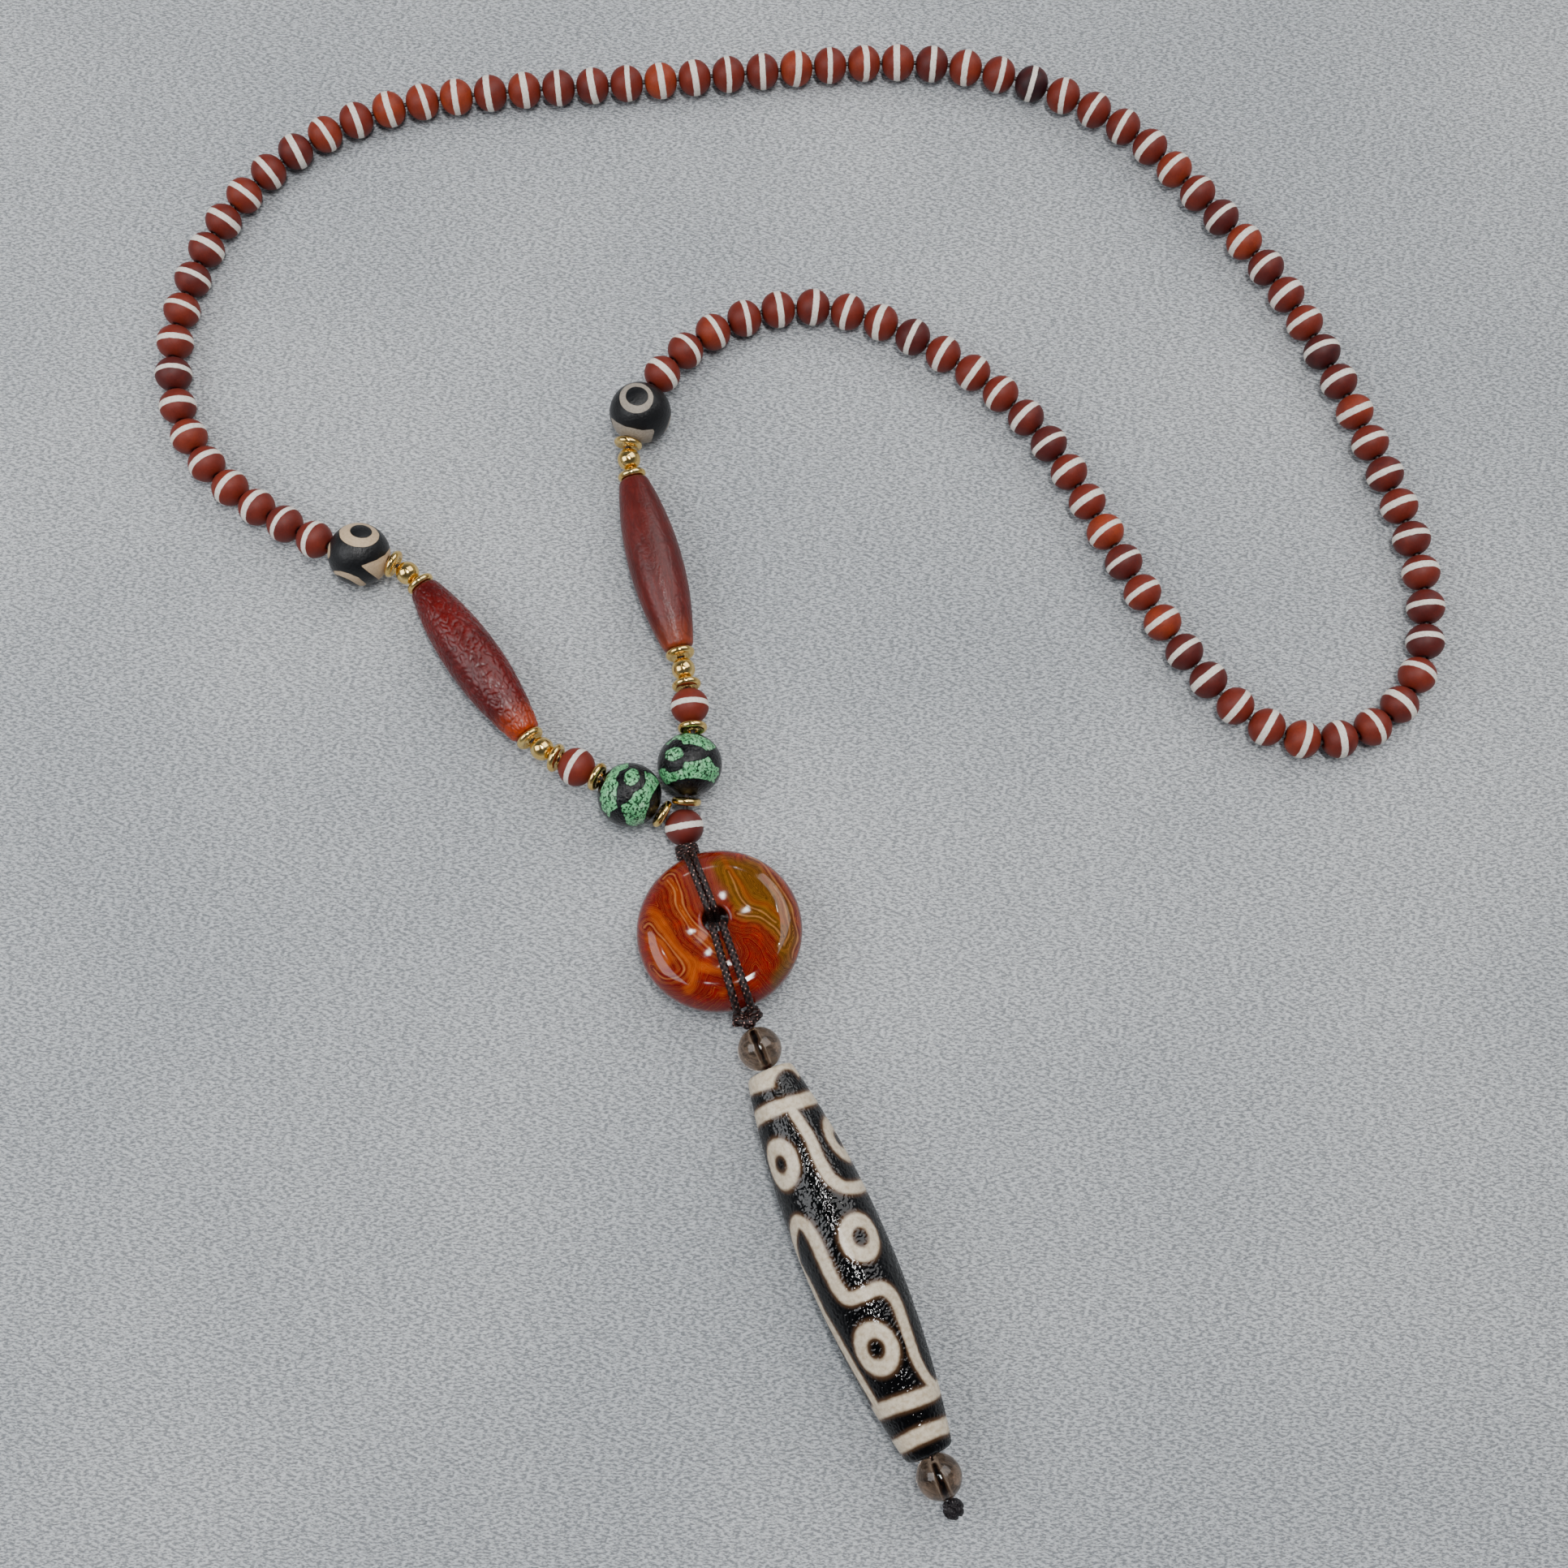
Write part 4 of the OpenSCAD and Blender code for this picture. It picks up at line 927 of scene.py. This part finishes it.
# The slings: braided cord, two strands each, looped through the donut's hole. The upper pair
# lies close together, and the lower pair spreads to the small knots.
CORD_CLEAR, UPPER_CORD, LOWER_CORD, SIDE_KNOT = 0.1, 1.0, 1.25, 2.0
UPPER_REACH, LOWER_REACH, LOWER_SLING_TURN = 24, 12, 180 + 4


def cord_piece(name, paths, radii, material, node, around=24, step=0.07):
    """Braided cords along paths in mm, as one piece. Each ring stands square to its path. Strands
    wind both ways round the cord; where two cross the surface stands up in a small diamond, and
    between the diamonds it dips. The plait field is that height from 0 to 1. Both ends close in
    domes."""
    strands, dip, period = 4, 0.2, 1.0
    points, faces, plait, count = [], [], [], 0
    for path, radius in zip(paths, radii):
        path = np.asarray(path, float)
        length = np.concatenate([[0], np.cumsum(np.linalg.norm(np.diff(path, axis=0), axis=1))])
        many = max(int(length[-1] / step), 16)
        s = np.linspace(0, length[-1], many)
        run = np.stack([np.interp(s, length, path[:, k]) for k in range(3)], -1)
        blur = np.ones(5) / 5
        run[2:-2] = np.stack([np.convolve(run[:, k], blur, "valid") for k in range(3)], -1)
        along = unit(np.gradient(run, axis=0))
        first = unit(np.cross(along[0], [0.2, 0.5, 1.0]))
        side = np.empty_like(run)
        for k in range(many):
            first = unit(first - along[k] * (first @ along[k]))
            side[k] = first
        other = np.cross(along, side)
        a = np.arange(around) * 2 * math.pi / around
        wind = s[:, None] * 2 * math.pi / period
        height = 0.5 + 0.5 * np.cos(strands * a + 0.35 * np.sin(wind)) * np.cos(wind)
        near = np.clip(1 - np.minimum(s, length[-1] - s) / radius, 0, 1)
        r = radius * (1 - dip * (1 - height)) * np.sqrt(1 - near**2 + 0.0004)[:, None]
        round_way = np.cos(a)[:, None] * side[:, None] + np.sin(a)[:, None] * other[:, None]
        points.append((run[:, None] + r[..., None] * round_way).reshape(-1, 3))
        plait.append(height.ravel())
        faces.append(grid_faces(many, around, False) + count)
        half = np.arange(around // 2 - 1)
        cap = np.stack([half, half + 1, around - 2 - half, around - 1 - half], -1)
        faces += [cap[:, ::-1] + count, cap + count + (many - 1) * around]
        count += many * around
    points = np.vstack(points)
    fields = {"plait": np.concatenate(plait), "place": points}
    dress(mesh_piece(name, points * MM, np.vstack(faces), fields), material, node)


def sling_path(turn, side, spacing, spread, d, reach):
    """One loop in the donut's frame: round the rim's circle at a small clearance from reach
    degrees above its middle, straight over the face, round the hole's edge and down through it,
    then the same below."""
    a = math.radians(turn + side * spread)
    ahead = np.array([math.sin(a), math.cos(a)])
    p = np.array([0, HOLE_SHIFT]) + side * spacing / 2 * np.array([ahead[1], -ahead[0]])
    lift = RIM_R + CORD_CLEAR + d / 2
    turns = np.radians(np.linspace(reach, 90, 14))
    along = p @ ahead
    over = []
    for t in turns:
        r = RIM_AT + lift * math.cos(t)
        q = p + ahead * (math.sqrt(along**2 - p @ p + r * r) - along)
        over.append([*q, lift * math.sin(t)])
    small, edge = CORD_CLEAR + d / 2, math.sqrt((HOLE_D / 2) ** 2 - (spacing / 2) ** 2)
    lip = p + ahead * edge
    face = RIM_R - DONUT_DISH * (RIM_AT - np.linalg.norm(lip)) / RIM_AT
    for t in np.radians(np.linspace(90, 180, 8)):
        over.append([*(p + ahead * (edge + small * math.cos(t))), face + small * math.sin(t)])
    over = np.array(over)
    return np.vstack([over, over[::-1] * [1, 1, -1]])


def braided_finish(name, dark, light, painted_glint_colour):
    """Braided cord of satin fibre, with painted shade between the plaits, painted light on them, and
    a painted glint on some of the highest."""
    material, tree, shader = new_finish(name)
    place, plait = field(tree, "place"), field(tree, "plait")
    fibre = noise(tree, place, 14.0, 2.0)
    # Painted shade and light: darker between the plaits, lighter on their crests, as the plait height goes.
    mixed = scaled(tree, fibre, 0.35, sums(tree, "SUBTRACT", plait, 0.17))
    # Painted glint: a pale spot on some of the highest plaits.
    high = scaled(tree, plait, noise(tree, place, 3.0, 2.0))
    painted_glint_share = ramp(tree, high, (0.46, (0, 0, 0)), (0.53, (1, 1, 1)))
    colour = blend(tree, painted_glint_share, ramp(tree, mixed, (0.35, dark), (0.75, light)), painted_glint_colour)
    join(tree, shader, Base_Color=colour, Roughness=scaled(tree, fibre, 0.2, 0.3), Specular_IOR_Level=0.3,
         Normal=bumped(tree, fibre, 0.5, 0.00006))
    return material


# Colours of the painted shade between the plaits, the painted light on them and the painted glint.
brown_cord = braided_finish("brown_braid", (0.003, 0.001, 0.001), (0.030, 0.010, 0.008), (0.56, 0.30, 0.25))
upper = [in_donut(sling_path(0, s, UPPER_CORD, 0, UPPER_CORD, UPPER_REACH)) / MM for s in (-1, 1)]
cord_piece("upper_cords", upper, [UPPER_CORD / 2 + 0.02] * 2, brown_cord, "upper_sling")
knots_out = DONUT_D / 2 + CORD_CLEAR + SIDE_KNOT / 2
spacing = LOWER_CORD + 2 * CORD_CLEAR
spread = math.degrees(math.atan((SIDE_KNOT / 2 + CORD_CLEAR - spacing / 2) / (knots_out + HOLE_SHIFT)))
lower = [in_donut(sling_path(LOWER_SLING_TURN, s, spacing, spread, LOWER_CORD, LOWER_REACH)) / MM
         for s in (-1, 1)]
cord_piece("lower_cords", lower, [LOWER_CORD / 2] * 2, brown_cord, "lower_sling")

# Knots: turns of the same cord pulled tight. The upper one wraps the cords under the guru bead;
# the lower two end the sling and join just above the glass bead.
UPPER_LEAN, LOWER_LEAN = 15, 18


def coil_path(middle, way, d, cord, turns, length):
    """Turns of cord round a line: a helix whose middle line is half a cord inside the knot."""
    way = unit(np.asarray(way, float))
    side = unit(np.cross(way, [0, 0, 1]))
    up = np.cross(side, way)
    t = np.linspace(0, 1, int(40 * turns))
    a = 2 * math.pi * turns * t
    r = (d - cord) / 2
    ring = np.cos(a)[:, None] * side + np.sin(a)[:, None] * up
    return middle + r * ring + way * ((t - 0.5) * (length - cord))[:, None]


knot_mid, knot_way = mid_of("upper_knot") / MM, np.append(-lean(UPPER_LEAN), 0)
wraps = [coil_path(knot_mid, knot_way, *sizes) for sizes in ((3.8, 0.85, 3.2, 2.4), (2.3, 1.1, 2.2, 2.1))]
cord_piece("upper_wrap", wraps, [0.42, 0.55], brown_cord, "upper_knot")
low_way = np.append(-lean(LOWER_LEAN), 0)
across = np.array([-low_way[1], low_way[0], 0])
rim_high = in_donut([[0, -RIM_AT, 0]])[0][2] / MM
knots_mid = np.append(donut_mid[:2] / MM, rim_high) + low_way * knots_out
wraps = []
for s in (-1, 1):
    top = knots_mid + s * across * (SIDE_KNOT / 2 + CORD_CLEAR) + low_way * 0.15
    wraps.append(coil_path(top, low_way + 0.35 * s * across, 2.4, 0.8, 3.1, 2.6))
    wraps.append(coil_path(top, low_way, 1.3, 1.0, 1.5, 2.4))
end = knots_mid + low_way * 0.9
wraps.append(coil_path(end, across, 2.1, 0.8, 2.6, 2.3))
wraps.append(coil_path(end + low_way * 0.3, low_way, 2.0, 0.8, 2.2, 1.8))
cord_piece("lower_wraps", wraps, [0.4, 0.5] * 2 + [0.4] * 2, brown_cord, "lower_knot")

# The long bead of the pendant: black stone, etched all over, with cream lines and eyes. Places on
# it are mm down from its top end and degrees round it from its upper side; an eye also has half
# its length and half its width.
DZI_D, DZI_END_D, DZI_LEN, DZI_EDGE, DZI_BORE, DZI_LEAN = 13.1, 6.9, 58.0, 1.0, 2.0, 23.0
EYES = [(13.4, -40, 3.6, 2.9), (13.2, 74, 3.6, 2.9), (27.1, 26, 3.4, 3.1), (41.8, -12, 3.7, 3.1),
        (24, 178, 3.3, 2.9), (36, 118, 3.3, 2.9), (13, 212, 3.2, 2.8)]
RING_THICK, LINE_WIDE, BAND_SWAY = 1.75, 1.7, 0.25
DARK_BAY = ((3.0, 2.2), 2.0, 2.4)
LINES = [
    [(7.2, 11), (9.5, 15), (11.5, 18), (15.1, 17), (18.1, 21), (19.8, 33), (20.5, 50), (20.6, 80)],
    [(30, -100), (26, -84), (22.8, -64), (21.6, -47), (22.6, -36), (25.1, -31), (29.8, -29), (32.6, -26),
     (34, -20), (34.4, 0), (34.4, 18), (35, 30), (36.8, 38), (40.7, 38), (45.5, 38), (48.5, 48),
     (49.7, 60)],
    [(25, -110), (27.5, -88), (30.5, -77), (34.8, -74), (38, -68), (43, -63), (47.8, -59), (50, -58)],
    [(6, 150), (14, 150), (20, 165), (27, 195), (36, 205), (44, 190), (50, 190)],
]
BANDS = [(0.9, 3.4), (6.0, 2.0), (50.0, 2.0), (55.0, 2.0)]
LINE_R = DZI_D / 2 * 0.94
ETCH_DEEP, ETCH_FINE, ETCH_SEED, ETCH_CORE = 0.12, 10.5, 11, 1.8
DZI_ALONG, DZI_AROUND = 360, 230
dzi_mid = mid_of("dzi_bead")
dzi_up = np.append(lean(DZI_LEAN), 0)


def ring_distance(x, y, middle, half_x, half_y, thick):
    """Distance in mm outside a ring of some thickness inside an ellipse's edge; below 0 in it."""
    reach = np.hypot((x - middle[0]) / half_x, (y - middle[1]) / half_y) - 1
    scale = min(half_x, half_y)
    return np.abs(reach * scale + thick / 2) - thick / 2


def eyed_pattern(local):
    """Distance in mm from the nearest cream band, line or ring of the long bead, measured on its
    surface: mm down from the top end, and mm round it from the upper side at the local radius.
    A dark bay is left in the top band."""
    down = DZI_LEN / 2 - local[..., 1]
    radius = np.maximum(np.hypot(local[..., 0], local[..., 2]), 2.5)
    angle = np.arctan2(local[..., 0], local[..., 2])
    best = np.full(down.shape, 1e3)
    for place, wide in BANDS:
        best = np.minimum(best, np.abs(down - place - BAND_SWAY * np.sin(2 * angle + place)) - wide / 2)
    routes = [smooth_route([(a, math.radians(b) * LINE_R) for a, b in points], 4) for points in LINES]
    for turn in (0, 2 * math.pi, -2 * math.pi):
        for route in routes:
            best = np.minimum(best, line_distance(down, (angle + turn) * LINE_R, route, LINE_WIDE))
        for place, degrees, half_long, half_round in EYES:
            side = (angle + turn - math.radians(degrees)) * radius
            inside = spot_distance(down, side, (place, 0), half_long + 1.0, half_round + 1.0)
            ring = ring_distance(down, side, (place, 0), half_long, half_round, RING_THICK)
            best = np.where(inside < 0, ring, best)
    return np.maximum(best, -spot_distance(down, angle * radius, *DARK_BAY))


def long_bead_finish():
    """Black glossy stone, finely etched; cream lines with brown edges."""
    material, tree, shader = new_finish("black_eyed_stone")
    place, cream = field(tree, "place"), field(tree, "cream")
    grain, pits = noise(tree, place, 1.4, 5.0, 0.65), noise(tree, place, 1.6, 2.0, 0.6)
    halo = line_mask(tree, place, sums(tree, "SUBTRACT", cream, 0.3), 0.25, 0.8, 0.6)
    core = line_mask(tree, place, cream, 0.25, 0.8, 0.28)
    black = ramp(tree, grain, (0.3, (0.0006, 0.0006, 0.0008)), (0.8, (0.002, 0.002, 0.0025)))
    brown = blend(tree, scaled(tree, halo, 0.9), black, (0.12, 0.06, 0.028))
    ivory = ramp(tree, grain, (0.3, (0.46, 0.36, 0.24)), (0.65, (0.68, 0.59, 0.45)))
    height = scaled(tree, pits, scaled(tree, core, -0.75, 1.0))
    join(tree, shader, Base_Color=blend(tree, core, brown, ivory), Roughness=scaled(tree, core, 0.24, 0.08),
         Specular_IOR_Level=0.4, Normal=bumped(tree, height, 0.6, 0.00004))
    return material


local = turned(arc_profile(DZI_D, DZI_END_D, DZI_LEN, DZI_EDGE, DZI_BORE, DZI_ALONG), DZI_AROUND)
cream = eyed_pattern(local)
deep = ETCH_DEEP * np.clip(cream / 0.5, 0.1, 1)
etched, _ = carved(local, ripples(local, ETCH_FINE, ETCH_SEED), deep, ETCH_CORE)
dzi = mesh_piece("long_eyed_bead", placed(etched, dzi_up, dzi_mid), grid_faces(*local.shape[:2]),
                 {"place": local, "cream": cream})
dress(dzi, long_bead_finish(), "dzi_bead")

# The pendant's other pieces: two beads of smoky glass above and below the long bead, one cord
# through all three, and the hard knot that ends it.
GLASS_D, GLASS_BORE, GLASS_AROUND, PENDANT_CORD = 6.5, 1.3, 72, 0.8
KNOT_R, KNOT_GROOVE, GROOVE_WIDE = 1.6, 0.22, 0.12


def glass_finish():
    """Clear smoky glass with faint streaks."""
    material, tree, shader = new_finish("smoky_glass")
    streak = noise(tree, field(tree, "place"), 0.35, 2.0)
    join(tree, shader, Base_Color=ramp(tree, streak, (0.3, (0.25, 0.165, 0.11)), (0.7, (0.42, 0.30, 0.215))),
         Transmission_Weight=1.0, IOR=1.45, Roughness=scaled(tree, streak, 0.03, 0.01))
    return material


smoky_glass = glass_finish()
dzi_foot = dzi_mid / MM - dzi_up * (DZI_LEN + SPACER_GAP) / 2
for name, way in (("upper_glass", dzi_up), ("lower_glass", dzi_foot - mid_of("lower_glass_bead") / MM)):
    local = turned(round_profile(GLASS_D, GLASS_D, GLASS_BORE, 40, 4), GLASS_AROUND)
    piece = mesh_piece(name, placed(local, way, mid_of(f"{name}_bead")), grid_faces(*local.shape[:2]),
                       {"place": local})
    dress(piece, smoky_glass, f"{name}_bead")

dzi_head = dzi_mid / MM + dzi_up * (DZI_LEN + SPACER_GAP) / 2
glass_top = dzi_head + dzi_up * (GLASS_D + SPACER_GAP)
glass_foot = 2 * mid_of("lower_glass_bead") / MM - dzi_foot
inner = [glass_top + dzi_up * 0.4, dzi_head, dzi_foot, glass_foot]
cord_piece("inner_cord", [inner], [PENDANT_CORD / 2], brown_cord, "pendant_cord")


def hard_knot():
    """A round knot: a ball whose skin dips along three rings of cord that cross."""
    rings, around = 48, 64
    polar = np.linspace(0.02, math.pi - 0.02, rings)[:, None]
    a = (np.arange(around) * 2 * math.pi / around)[None]
    x, y, z = np.sin(polar) * np.cos(a), np.sin(polar) * np.sin(a), np.cos(polar) + 0 * a
    groove = np.abs([x * 0.8 + y * 0.6, y - z * 0.5, z + x * 0.7]).min(0)
    twist = 0.04 * np.sin(22 * x + 16 * z)
    plait = 0.5 + 0.5 * np.cos(9 * a + 12 * polar) * np.cos(9 * a - 12 * polar)
    r = KNOT_R * (1 - KNOT_GROOVE * np.exp(-(groove / GROOVE_WIDE) ** 2)) * (0.96 + twist)
    r = r * (0.96 + 0.04 * plait)
    half = np.arange(around // 2 - 1)
    cap = np.stack([half, half + 1, around - 2 - half, around - 1 - half], -1)
    faces = [grid_faces(rings, around, False)[:, ::-1], cap, cap[:, ::-1] + (rings - 1) * around]
    points = np.stack([x, y, z], -1) * r[..., None] + mid_of("end_knot") / MM
    return mesh_piece("last_knot", points * MM, np.vstack(faces), {"plait": plait, "place": points})


# Colours of the painted shade between the plaits, the painted light on them and the painted glint.
dark_cord = braided_finish("dark_braid", (0.003, 0.002, 0.003), (0.018, 0.014, 0.016), (0.16, 0.14, 0.15))
dress(hard_knot(), dark_cord, "end_knot")
